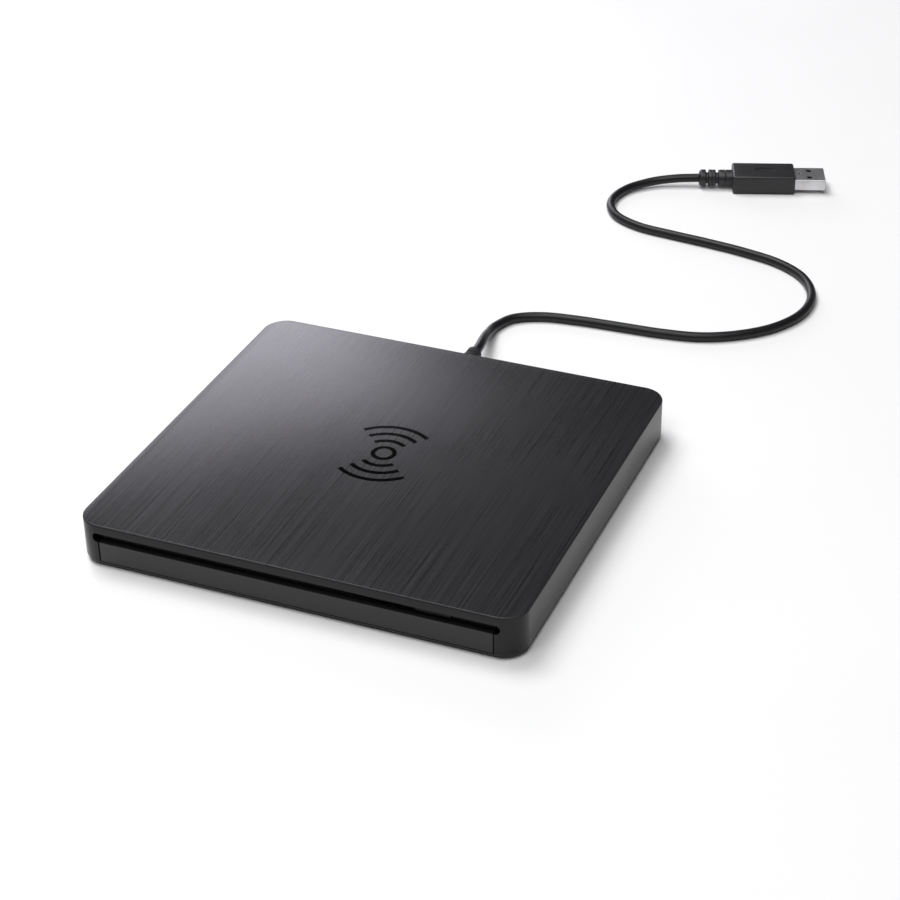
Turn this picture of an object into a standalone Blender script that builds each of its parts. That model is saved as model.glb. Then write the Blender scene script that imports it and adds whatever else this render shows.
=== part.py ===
"""Slim external optical drive: case, tray-loading mechanism, captive USB cord and plug.

Sizes are in millimetres and become metres when a mesh or curve is made.
Frame: +X to the right, +Y to the back, +Z up; the origin is on the supporting surface
under the centre of the case.
"""
import math

import bmesh
import bpy
from mathutils import Matrix, Vector

MM = 0.001
GAP = 0.3                       # clearance between neighbouring pieces

# ---- case -------------------------------------------------------------------------
CASE_WIDTH = 144.0
CASE_DEPTH = 137.5
CASE_TOP = 15.0
CORNER_RADIUS = 8.0
WALL = 1.5
FRONT_WALL = 3.0
LID_THICKNESS = 1.2
LID_EDGE_ROUND = 0.5
WALL_FOOT = 2.0                 # lower edge of the top cover's walls
HALF_W = CASE_WIDTH / 2
HALF_D = CASE_DEPTH / 2
CEILING = CASE_TOP - LID_THICKNESS

FLANGE_BOTTOM, FLANGE_TOP, FLANGE_INSET, FLANGE_CHAMFER = 0.9, 1.7, 0.5, 0.5
STEP_TOP = 2.5                  # the bottom cover's raised middle, inside the walls
STEP_FRONT = -63.0
FOOT_RADIUS, FOOT_HEIGHT = 4.5, 1.0
FOOT_X, FOOT_Y = 57.0, 54.0
SCREW_X, SCREW_Y = 67.6, 60.0
SCREW_RADIUS, SCREW_HEAD_RADIUS, SCREW_HEAD_TOP, SCREW_TOP = 0.9, 1.5, 1.8, 8.0
BOSS_RADIUS, BOSS_BOTTOM = 3.2, 2.8

# ---- front: opening, finger groove and bezel ------------------------------------------
OPENING_HALF, OPENING_TOP = 64.0, 12.1
BEYOND = 2.0                    # how far a cutter reaches past the piece it cuts
GROOVE_BOTTOM, GROOVE_DEPTH, GROOVE_HALF, GROOVE_END_ROUND = 9.05, 2.45, 65.8, 1.4
BEZEL_HALF, BEZEL_BOTTOM, BEZEL_BACK = 63.7, 2.3, -64.8
BEZEL_TOP = OPENING_TOP - GAP
GROOVE_FACE = -HALF_D + GROOVE_DEPTH
BUTTON_X, BUTTON_Z, BUTTON_SIZE = 44.5, 10.3, (11.0, 1.6)
BUTTON_PROUD, BUTTON_STEM_BACK = 0.4, -63.9
LIGHT_X, LIGHT_SIZE = 32.5, (3.0, 0.8)
SWITCH_BOARD_X, SWITCH_BOARD_Y, SWITCH_BOARD_Z = (29.0, 53.0), (-63.8, -59.6), (6.9, 7.7)
SWITCH_X, SWITCH_Y, SWITCH_TOP = (42.0, 47.0), (-63.2, -61.0), 10.0
LED_X, LED_Y, LED_TOP = (31.7, 33.3), (-63.4, -62.4), 9.4
PIN_HOLE_X, PIN_HOLE_RADIUS = 22.0, 0.6

# ---- drive mechanism's steel shell ----------------------------------------------------
SHEET = 0.6
DRIVE_HALF, DRIVE_FRONT, DRIVE_BACK = 64.0, -64.3, 60.5
CHASSIS_BOTTOM, CHASSIS_TOP = 2.8, 11.2
COVER_BOTTOM, COVER_TOP = 11.5, 12.1
SOCKET_X, SOCKET_Z, SOCKET_FRONT, SOCKET_PLUG_BACK = (20.0, 42.0), (5.1, 8.3), 56.9, 64.6

# ---- tray and rails -------------------------------------------------------------------
TRAY_HALF, TRAY_FRONT, TRAY_BACK = 59.6, -64.5, 56.0
TRAY_BOTTOM, TRAY_TOP, TRAY_CEILING = 3.9, 10.9, 7.9
TRAY_SKIRT = 2.0
SPINDLE_Y = -3.0
WELL_RADIUS, WELL_FLOOR = 60.5, 9.3
SMALL_WELL_RADIUS, SMALL_WELL_FLOOR = 40.5, 8.9
TONGUE_OUT, TONGUE_Z = 60.8, (6.2, 7.2)
RAIL_Y = (-58.0, 58.0)
SLIDE_RAIL_X, SLIDE_RAIL_Z = (60.0, 61.6), (5.0, 8.4)
GUIDE_RAIL_X, GUIDE_RAIL_Z = (60.4, 63.1), (4.0, 9.4)
UNDER_COVER_Z = (3.8, 4.3)
UNDER_COVER_WINDOW_X, UNDER_COVER_WINDOW_Y = (-30.0, 0.0), (26.0, 46.0)
LATCH_GAP_X, LATCH_GAP_Z = (-46.5, -40.0), (4.4, 6.6)

# ---- traverse unit, in its own frame: origin on the spindle axis, +X along the sled ----
TRAVERSE_TURN = math.radians(-135)
FRAME_Z, FRAME_X, FRAME_Y = (4.7, 5.6), (-19.5, 57.0), (-23.0, 22.0)
FRAME_END, FRAME_END_HALF = 65.0, 15.2
EAR_X, EAR_Y = (26.0, 34.0), (-27.5, -20.0)
POST_INNER_X, POST_OUTER_X, POST_LENGTH, POST_HALF = 11.5, 62.8, 2.0, 1.5
HUB_OPENING_RADIUS = 14.5       # the tray's openings round the turntable and the sled
TRAY_OPENINGS = (("sled", (-9.5, 58.0), (-22.5, 16.5), 0),
                 ("rod", (50.0, 65.6), (-15.8, 15.8), 1),
                 ("end", (60.0, 67.5), (-11.0, 11.0), 2))
ROD_Y, ROD_Z, ROD_RADIUS, ROD_X = 13.5, 7.3, 0.8, (10.5, 64.5)
BORE_START, BORE_END = 5.0, 70.0
LENS_X = 24.0                   # the lens stands over the disc's lead-in at rest
SLED_Z, SLED_HALF, NOSE_HALF, ARM_Y = (5.9, 8.9), 15.3, 9.5, (-20.8, -13.0)
HOLDER_HALF, HOLDER_Z = (4.9, 5.6), (7.2, 9.0)
SCREW_AXIS_Y, SCREW_AXIS_Z = -19.0, 7.4
LEADSCREW_RADIUS, LEADSCREW_X = 0.9, (10.3, 56.5)
FEED_MOTOR_RADIUS, FEED_MOTOR_X = 2.1, (-8.0, 10.0)
TURNTABLE_RADIUS, DISC_SEAT, HUB_RADIUS, HUB_TOP = 13.4, 9.9, 7.4, 11.1
STATOR_RADIUS = 8.2
CLAW_X, CLAW_HALF, CLAW_SLOT_END = (4.4, HUB_RADIUS + 0.4), 0.9, 9.0
BUSH_PLACES = ((-17.0, 0.0), (40.0, 19.2), (30.0, -25.0))
BUSH_RADIUS, BUSH_Z = 2.2, (5.9, 7.6)

# ---- latch ----------------------------------------------------------------------------
LATCH_PIVOT = (-43.0, 50.0)
LATCH_PIN = (-45.0, 57.6)
LATCH_PIN_RADIUS = 0.6
LATCH_Z, LATCH_PIVOT_RADIUS, LATCH_BORE_RADIUS = (5.0, 6.0), 2.2, 0.9
SOLENOID = ((-56.5, 36.0, 4.7), (-48.5, 50.0, 7.5))

# ---- boards: the tray's main board, the drive's socket board and the bridge board -------
MAIN_BOARD = ((9.0, 21.0, 4.7), (56.0, 52.0, 5.5))
CONTROLLER_CHIP = ((26.0, 30.0, 5.8), (40.0, 44.0, 6.9))
CONNECTOR_BOARD = ((15.0, 56.4, 3.8), (48.0, 59.5, 4.6))
BRIDGE_BOARD = ((8.0, 61.0, 4.0), (58.0, 66.8, 4.8))
BRIDGE_CHIP = ((48.0, 61.4, 5.1), (53.0, 66.4, 6.0))
CRYSTAL_CAN = ((11.0, 62.2, 5.1), (15.0, 64.8, 6.0))

# ---- cord and plug --------------------------------------------------------------------
CORD_DIAMETER = 3.4
CORD_EXIT = (-2.4, 7.0)         # x and z of the hole in the back wall
CORD_HOLE_RADIUS = 2.6
RELIEF_HEAD, RELIEF_RADIUS, RELIEF_TIP = 1.7, 3.4, 2.2
RELIEF_END, RELIEF_RIBS = 82.5, 3
CORD_POINTS = 72
CORD_ROUTE = (                  # centreline from the strain relief to the plug's neck
    (-2.4, 82.8, 7.0), (-2.6, 87.4, 6.9), (-3.4, 92.5, 6.4), (-4.6, 98.5, 5.1),
    (-5.7, 105.0, 3.2), (-6.0, 112.0, 1.95), (-2.2, 120.3, 1.75), (7.6, 125.4, 1.75),
    (21.0, 127.3, 1.75), (36.0, 128.0, 1.75), (51.0, 128.7, 1.75), (65.0, 131.2, 1.75),
    (77.5, 137.8, 1.75), (87.5, 147.6, 1.75), (93.6, 160.6, 1.75), (93.6, 175.0, 1.75),
    (87.0, 188.0, 1.75), (75.5, 196.4, 1.75), (61.0, 200.8, 1.75), (46.0, 203.4, 1.75),
    (31.0, 205.3, 1.75), (16.6, 207.7, 1.75), (5.0, 214.2, 1.75), (-0.6, 225.2, 1.75),
    (1.2, 237.4, 1.9), (8.9, 246.5, 2.6), (17.6, 251.0, 3.5), (26.48, 254.21, 3.9),
)
PLUG_TURN = math.radians(19)    # the plug's axis, turned from +X
PLUG_START = (26.76, 254.31, 3.9)  # where the cord enters its neck
NECK_LENGTH, NECK_RADIUS = 13.2, 3.4
NECK_VALLEYS = ((6.4, 7.7), (2.5, 3.7))
PLUG_BODY = (24.8, 14.0, 7.6)
PLUG_SHELL = (12.0, 12.0, 4.5)
PLUG_BODY_ROUND, PLUG_SHELL_ROUND, PLUG_SHELL_WALL = 0.8, 0.3, 0.35
PLUG_MARK_X, PLUG_MARK_HALF, PLUG_MARK_DEPTH = (9.0, 17.0), 2.0, 0.25
WINDOW_START, WINDOW_LENGTH, WINDOW_Y, WINDOW_HALF = 4.6, 2.0, 3.1, 1.1
TONGUE_HALF, TONGUE_LOW, TONGUE_HIGH = 5.5, -1.6, 0.25
CONTACTS = ((-3.5, 7.0), (-1.0, 7.8), (1.0, 7.8), (3.5, 7.0))   # y and start of each
CONTACT_HALF, CONTACT_THICKNESS, CONTACT_END = 0.5, 0.25, 1.2

COLOURS = {                     # base colour, roughness, metallic
    "case_black": ((0.035, 0.034, 0.038), 0.38, 0.35),
    "bezel_black": ((0.03, 0.029, 0.034), 0.42, 0.0),
    "inner_black": ((0.02, 0.02, 0.02), 0.55, 0.0),
    "rubber": ((0.016, 0.016, 0.017), 0.8, 0.0),
    "cord_black": ((0.014, 0.014, 0.016), 0.5, 0.0),
    "steel": ((0.55, 0.56, 0.57), 0.35, 1.0),
    "bright_steel": ((0.72, 0.72, 0.74), 0.22, 1.0),
    "gold": ((0.83, 0.62, 0.25), 0.3, 1.0),
    "board_green": ((0.02, 0.12, 0.06), 0.5, 0.0),
    "chip_black": ((0.015, 0.015, 0.016), 0.45, 0.0),
    "claw_white": ((0.82, 0.82, 0.8), 0.5, 0.0),
    "light_smoked": ((0.03, 0.034, 0.03), 0.2, 0.0),
    "lens_glass": ((0.35, 0.45, 0.65), 0.05, 0.0),
}


# ---- helpers --------------------------------------------------------------------------
def clear_scene():
    for item in list(bpy.data.objects):
        bpy.data.objects.remove(item, do_unlink=True)


def collection(name):
    made = bpy.data.collections.new(name)
    bpy.context.scene.collection.children.link(made)
    return made


def material(name):
    found = bpy.data.materials.get(name)
    if found:
        return found
    colour, roughness, metallic = COLOURS[name]
    made = bpy.data.materials.new(name)
    made.use_nodes = True
    shader = made.node_tree.nodes["Principled BSDF"]
    shader.inputs["Base Color"].default_value = (*colour, 1.0)
    shader.inputs["Roughness"].default_value = roughness
    shader.inputs["Metallic"].default_value = metallic
    return made


def place(name, data, origin, parent, look):
    """Link an object whose data is already relative to its origin."""
    item = bpy.data.objects.new(name, data)
    item.location = Vector(origin) * MM
    item.parent = parent
    if look is None:
        CUTTERS.objects.link(item)
        item.hide_render = True
        item.display_type = "WIRE"
    else:
        PARTS.objects.link(item)
        data.materials.append(material(look))
    return item


def mesh_object(name, bm, origin=(0, 0, 0), parent=None, look=None):
    """Turn a bmesh in millimetres into an object with its origin at the given point."""
    bmesh.ops.translate(bm, verts=bm.verts, vec=-Vector(origin))
    bmesh.ops.scale(bm, verts=bm.verts, vec=(MM, MM, MM))
    bmesh.ops.recalc_face_normals(bm, faces=bm.faces)
    data = bpy.data.meshes.new(name)
    bm.to_mesh(data)
    bm.free()
    if look is not None:
        data.shade_smooth()
        data.set_sharp_from_angle(angle=math.radians(35))
    return place(name, data, origin, parent, look)


def box_bmesh(low, high, upright_round=0.0, top_round=0.0, segments=6):
    """A box with rounded upright edges and a rounded top rim."""
    low, high = Vector(low), Vector(high)
    bm = bmesh.new()
    bmesh.ops.create_cube(bm, size=1.0)
    bmesh.ops.scale(bm, verts=bm.verts, vec=high - low)
    bmesh.ops.translate(bm, verts=bm.verts, vec=(low + high) / 2)
    if upright_round:
        upright = [edge for edge in bm.edges
                   if abs(edge.verts[0].co.z - edge.verts[1].co.z) > (high.z - low.z) / 2]
        bmesh.ops.bevel(bm, geom=upright, offset=upright_round, segments=segments,
                        profile=0.5, affect="EDGES")
    if top_round:
        rim = [edge for edge in bm.edges
               if all(vert.co.z > high.z - MM for vert in edge.verts)]
        bmesh.ops.bevel(bm, geom=rim, offset=top_round, segments=2, profile=0.5,
                        affect="EDGES")
    return bm


def box(name, low, high, look=None, parent=None, origin=None, **rounding):
    centre = (Vector(low) + Vector(high)) / 2 if origin is None else origin
    return mesh_object(name, box_bmesh(low, high, **rounding), centre, parent, look)


AXES = {"X": Matrix.Rotation(math.radians(90), 3, "Y"),
        "Y": Matrix.Rotation(math.radians(-90), 3, "X"),
        "Z": Matrix.Identity(3)}


def rod(name, axis, start, length, radius, look=None, parent=None, sides=20, end_round=0.0):
    """A cylinder that runs from start along an axis."""
    bm = bmesh.new()
    bmesh.ops.create_cone(bm, cap_ends=True, segments=sides, radius1=radius,
                          radius2=radius, depth=length)
    bmesh.ops.translate(bm, verts=bm.verts, vec=(0, 0, length / 2))
    if end_round:
        rims = [edge for edge in bm.edges
                if abs(edge.verts[0].co.z - edge.verts[1].co.z) < MM]
        bmesh.ops.bevel(bm, geom=rims, offset=end_round, segments=2, profile=0.5,
                        affect="EDGES")
    bmesh.ops.rotate(bm, verts=bm.verts, matrix=AXES[axis])
    bmesh.ops.translate(bm, verts=bm.verts, vec=start)
    return mesh_object(name, bm, start, parent, look)


def turned(name, profile, origin, look, parent=None, axis="Z", steps=32):
    """A profile of (radius, height) points turned about an axis through the origin."""
    bm = bmesh.new()
    verts = [bm.verts.new((radius * MM, 0, height * MM)) for radius, height in profile]
    for first, second in zip(verts, verts[1:]):
        bm.edges.new((first, second))
    data = bpy.data.meshes.new(name)
    bm.to_mesh(data)
    bm.free()
    item = place(name, data, origin, parent, look)
    if axis == "Y":
        item.rotation_euler = (math.radians(-90), 0, 0)
    if axis == "X":
        item.rotation_euler = (0, math.radians(90), 0)
    screw = item.modifiers.new("Turn", "SCREW")
    screw.axis = "Z"
    screw.steps = screw.render_steps = steps
    screw.use_merge_vertices = True
    screw.merge_threshold = 0.00001
    screw.use_smooth_shade = True
    return item


def boolean(target, other, operation):
    change = target.modifiers.new(operation.title(), "BOOLEAN")
    change.operation = operation
    change.solver = "EXACT"
    change.object = other


def cut(target, *cutters):
    for cutter in cutters:
        boolean(target, cutter, "DIFFERENCE")


def join(target, *others):
    for other in others:
        boolean(target, other, "UNION")


def mirrored(low, high, side):
    """A box's corners on the right (side 1) or mirrored to the left (side -1)."""
    if side > 0:
        return low, high
    return (-high[0], low[1], low[2]), (-low[0], high[1], high[2])


def empty(name, location, turn):
    item = bpy.data.objects.new(name, None)
    PARTS.objects.link(item)
    item.location = Vector(location) * MM
    item.rotation_euler = (0, 0, turn)
    return item


def smooth_route(points, count):
    """Evenly spaced points on a Catmull-Rom curve through the route's points."""
    route = [Vector(point) for point in points]
    padded = [2 * route[0] - route[1], *route, 2 * route[-1] - route[-2]]
    fine = []
    steps = 24
    for p0, p1, p2, p3 in zip(padded, padded[1:], padded[2:], padded[3:]):
        for step in range(steps):
            t = step / steps
            fine.append(0.5 * (2 * p1 + (p2 - p0) * t
                               + (2 * p0 - 5 * p1 + 4 * p2 - p3) * t * t
                               + (3 * p1 - p0 - 3 * p2 + p3) * t * t * t))
    fine.append(route[-1])
    reach = [0.0]
    for first, second in zip(fine, fine[1:]):
        reach.append(reach[-1] + (second - first).length)
    spaced = []
    index = 0
    for number in range(count):
        wanted = reach[-1] * number / (count - 1)
        while index < len(reach) - 2 and reach[index + 1] < wanted:
            index += 1
        share = (wanted - reach[index]) / (reach[index + 1] - reach[index])
        spaced.append(fine[index].lerp(fine[index + 1], share))
    return spaced


# ---- case -----------------------------------------------------------------------------
def make_top_cover():
    cover = box("top_cover", (-HALF_W, -HALF_D, WALL_FOOT), (HALF_W, HALF_D, CASE_TOP),
                "case_black", upright_round=CORNER_RADIUS, top_round=LID_EDGE_ROUND,
                segments=8)
    bosses = [rod(f"cover_boss_{number}", "Z", (x, y, BOSS_BOTTOM),
                  CEILING - BOSS_BOTTOM + LID_THICKNESS / 2, BOSS_RADIUS, sides=24)
              for number, (x, y) in enumerate(corner_places(SCREW_X, SCREW_Y), 1)]
    bores = [rod(f"cover_boss_bore_{number}", "Z", (x, y, WALL_FOOT),
                 SCREW_TOP + GAP - WALL_FOOT, SCREW_RADIUS + GAP)
             for number, (x, y) in enumerate(corner_places(SCREW_X, SCREW_Y), 1)]
    cavity = box("cover_cavity", (-HALF_W + WALL, -HALF_D + FRONT_WALL, 0),
                 (HALF_W - WALL, HALF_D - WALL, CEILING),
                 upright_round=CORNER_RADIUS - WALL, segments=8)
    opening = box("cover_opening", (-OPENING_HALF, -HALF_D - BEYOND, 0),
                  (OPENING_HALF, -HALF_D + FRONT_WALL + BEYOND / 2, OPENING_TOP))
    relief_hole = rod("cover_cord_hole", "Y",
                      (CORD_EXIT[0], HALF_D - WALL - BEYOND, CORD_EXIT[1]),
                      WALL + 2 * BEYOND, CORD_HOLE_RADIUS)
    cut(cover, cavity, opening, groove_end_cutter(1), groove_end_cutter(-1))
    join(cover, *bosses)
    cut(cover, *bores, relief_hole)


def groove_end_cutter(side):
    """The finger groove's rounded end, let into the corner of the cover."""
    inner = OPENING_HALF - 2 * BEYOND
    low, high = mirrored((inner, -HALF_D - BEYOND, GROOVE_BOTTOM),
                         (GROOVE_HALF, GROOVE_FACE, OPENING_TOP), side)
    bm = box_bmesh(low, high)
    ends = [edge for edge in bm.edges
            if all(abs(vert.co.x) > GROOVE_HALF - MM for vert in edge.verts)
            and abs(edge.verts[0].co.z - edge.verts[1].co.z) < MM]
    bmesh.ops.bevel(bm, geom=ends, offset=GROOVE_END_ROUND, segments=4, profile=0.5,
                    affect="EDGES")
    return mesh_object(f"groove_end_{'right' if side > 0 else 'left'}", bm)


def corner_places(x, y):
    return [(-x, -y), (x, -y), (-x, y), (x, y)]


def make_bottom_cover():
    """A shallow dish: a chamfered flange under the walls and a raised middle inside."""
    inset = FLANGE_INSET
    low = (-HALF_W + inset, -HALF_D + inset, FLANGE_BOTTOM)
    high = (HALF_W - inset, HALF_D - inset, FLANGE_TOP)
    bm = box_bmesh(low, high, upright_round=CORNER_RADIUS - inset, segments=8)
    rim = [edge for edge in bm.edges
           if all(vert.co.z < FLANGE_BOTTOM + MM for vert in edge.verts)]
    bmesh.ops.bevel(bm, geom=rim, offset=FLANGE_CHAMFER, segments=1, affect="EDGES")
    cover = mesh_object("bottom_cover", bm, (0, 0, FLANGE_BOTTOM), None, "case_black")
    step_inset = WALL + GAP
    middle = (FLANGE_BOTTOM + FLANGE_TOP) / 2
    step = box("bottom_step", (-HALF_W + step_inset, STEP_FRONT, middle),
               (HALF_W - step_inset, HALF_D - step_inset, STEP_TOP),
               upright_round=CORNER_RADIUS - step_inset, segments=8)
    join(cover, step)
    head_recess_top = SCREW_HEAD_TOP + GAP
    for number, (x, y) in enumerate(corner_places(SCREW_X, SCREW_Y), 1):
        cut(cover,
            rod(f"screw_recess_{number}", "Z", (x, y, 0), head_recess_top,
                SCREW_HEAD_RADIUS + GAP),
            rod(f"screw_hole_{number}", "Z", (x, y, 0), STEP_TOP + BEYOND,
                SCREW_RADIUS + GAP))
    for number, (x, y) in enumerate(corner_places(FOOT_X, FOOT_Y), 1):
        cut(cover, rod(f"foot_recess_{number}", "Z", (x, y, 0), FOOT_HEIGHT + GAP,
                       FOOT_RADIUS + GAP, sides=32))


def make_feet():
    names = ("front_left", "front_right", "rear_left", "rear_right")
    for name, (x, y) in zip(names, corner_places(FOOT_X, FOOT_Y)):
        rod(f"foot_{name}", "Z", (x, y, 0), FOOT_HEIGHT, FOOT_RADIUS, "rubber", sides=32,
            end_round=0.25)


def make_case_screws():
    head_bottom, edge, socket_radius, socket_top = 1.0, 0.3, 0.6, 1.4
    tip_radius, tip_length = SCREW_RADIUS * 0.6, 0.6
    profile = [(0, SCREW_TOP), (tip_radius, SCREW_TOP),
               (SCREW_RADIUS, SCREW_TOP - tip_length), (SCREW_RADIUS, SCREW_HEAD_TOP),
               (SCREW_HEAD_RADIUS, SCREW_HEAD_TOP), (SCREW_HEAD_RADIUS, head_bottom + edge),
               (SCREW_HEAD_RADIUS - edge, head_bottom), (socket_radius, head_bottom),
               (socket_radius, socket_top), (0, socket_top)]
    names = ("front_left", "front_right", "rear_left", "rear_right")
    for name, (x, y) in zip(names, corner_places(SCREW_X, SCREW_Y)):
        turned(f"case_screw_{name}", profile, (x, y, 0), "steel", steps=16)


# ---- front ----------------------------------------------------------------------------
def window(name, x, z, size, clearance=GAP):
    """A cutter through the bezel's recessed face for a piece of the given size."""
    half_x, half_z = size[0] / 2 + clearance, size[1] / 2 + clearance
    return box(name, (x - half_x, -HALF_D - BEYOND, z - half_z),
               (x + half_x, BEZEL_BACK + BEYOND, z + half_z))


def make_bezel():
    bezel = box("tray_bezel", (-BEZEL_HALF, -HALF_D, BEZEL_BOTTOM),
                (BEZEL_HALF, BEZEL_BACK, BEZEL_TOP), "bezel_black", upright_round=0.3,
                segments=2)
    groove = box("bezel_groove", (-HALF_W, -HALF_D - BEYOND, GROOVE_BOTTOM),
                 (HALF_W, GROOVE_FACE, OPENING_TOP + BEYOND))
    cut(bezel, groove, window("button_window", BUTTON_X, BUTTON_Z, BUTTON_SIZE),
        window("light_window", LIGHT_X, BUTTON_Z, LIGHT_SIZE),
        rod("emergency_hole", "Y", (PIN_HOLE_X, -HALF_D, BUTTON_Z),
            HALF_D + BEZEL_BACK + BEYOND, PIN_HOLE_RADIUS, sides=12))


def make_eject_button():
    """A bar in the finger groove, with a low stem that reaches back to the switch."""
    half_x, half_z = BUTTON_SIZE[0] / 2, BUTTON_SIZE[1] / 2
    bm = box_bmesh((BUTTON_X - half_x, GROOVE_FACE - BUTTON_PROUD, BUTTON_Z - half_z),
                   (BUTTON_X + half_x, BEZEL_BACK - GAP, BUTTON_Z + half_z))
    face_rim = [edge for edge in bm.edges
                if all(vert.co.y < GROOVE_FACE for vert in edge.verts)]
    bmesh.ops.bevel(bm, geom=face_rim, offset=BUTTON_PROUD / 2, segments=2, profile=0.5,
                    affect="EDGES")
    button = mesh_object("eject_button", bm, (BUTTON_X, GROOVE_FACE, BUTTON_Z), None,
                         "bezel_black")
    stem_half, stem_low, stem_high = 1.5, BUTTON_Z - half_z + 0.1, BUTTON_Z - 0.3
    join(button, box("button_stem", (BUTTON_X - stem_half, GROOVE_FACE, stem_low),
                     (BUTTON_X + stem_half, BUTTON_STEM_BACK, stem_high)))


def make_light_pipe():
    half_x, half_z, proud = LIGHT_SIZE[0] / 2, LIGHT_SIZE[1] / 2, 0.15
    box("light_pipe", (LIGHT_X - half_x, GROOVE_FACE - proud, BUTTON_Z - half_z),
        (LIGHT_X + half_x, BEZEL_BACK, BUTTON_Z + half_z), "light_smoked", upright_round=0.2,
        segments=2)


def make_switch_board():
    """The little board behind the bezel, with the eject switch and the status light."""
    standing = SWITCH_BOARD_Z[1] + GAP
    box("switch_board", (SWITCH_BOARD_X[0], SWITCH_BOARD_Y[0], SWITCH_BOARD_Z[0]),
        (SWITCH_BOARD_X[1], SWITCH_BOARD_Y[1], SWITCH_BOARD_Z[1]), "board_green")
    box("eject_switch", (SWITCH_X[0], SWITCH_Y[0], standing),
        (SWITCH_X[1], SWITCH_Y[1], SWITCH_TOP), "chip_black", upright_round=0.3,
        segments=2)
    box("status_led", (LED_X[0], LED_Y[0], standing), (LED_X[1], LED_Y[1], LED_TOP),
        "light_smoked")


# ---- drive shell, rails and tray --------------------------------------------------------
def make_drive_shell():
    chassis = box("drive_chassis", (-DRIVE_HALF, DRIVE_FRONT, CHASSIS_BOTTOM),
                  (DRIVE_HALF, DRIVE_BACK, CHASSIS_TOP), "steel")
    inside = box("chassis_inside", (-DRIVE_HALF + SHEET, DRIVE_FRONT - BEYOND,
                                    CHASSIS_BOTTOM + SHEET),
                 (DRIVE_HALF - SHEET, DRIVE_BACK - SHEET, CHASSIS_TOP + BEYOND))
    socket_gap = box("chassis_socket_gap",
                     (SOCKET_X[0] - 1, DRIVE_BACK - BEYOND, SOCKET_Z[0] - GAP),
                     (SOCKET_X[1] + 1, DRIVE_BACK + BEYOND, SOCKET_Z[1] + GAP))
    cut(chassis, inside, socket_gap)
    box("drive_top_cover", (-DRIVE_HALF, DRIVE_FRONT, COVER_BOTTOM),
        (DRIVE_HALF, DRIVE_BACK, COVER_TOP), "steel", upright_round=0.5, segments=2)
    pin_bottom, pin_top = CHASSIS_BOTTOM + SHEET + GAP, 7.6
    rod("latch_pin", "Z", (*LATCH_PIN, pin_bottom), pin_top - pin_bottom,
        LATCH_PIN_RADIUS, "bright_steel", sides=16)


def make_rails(side, word):
    """One side's fixed plastic guide and the steel rail that slides in it."""
    start, end = RAIL_Y
    guide = box(f"guide_rail_{word}",
                *mirrored((GUIDE_RAIL_X[0], start - BEYOND, GUIDE_RAIL_Z[0]),
                          (GUIDE_RAIL_X[1], end, GUIDE_RAIL_Z[1]), side), "inner_black")
    channel = box(f"guide_channel_{word}",
                  *mirrored((GUIDE_RAIL_X[0] - 1, start - 2 * BEYOND,
                             SLIDE_RAIL_Z[0] - GAP),
                            (SLIDE_RAIL_X[1] + GAP, end + BEYOND, SLIDE_RAIL_Z[1] + GAP),
                            side))
    cut(guide, channel)
    slide = box(f"slide_rail_{word}",
                *mirrored((SLIDE_RAIL_X[0], start, SLIDE_RAIL_Z[0]),
                          (SLIDE_RAIL_X[1], end, SLIDE_RAIL_Z[1]), side), "bright_steel")
    slot = box(f"slide_slot_{word}",
               *mirrored((SLIDE_RAIL_X[0] - 1, start - BEYOND, TONGUE_Z[0] - GAP),
                         (TONGUE_OUT + GAP, end + BEYOND, TONGUE_Z[1] + GAP), side))
    cut(slide, slot)


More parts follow.
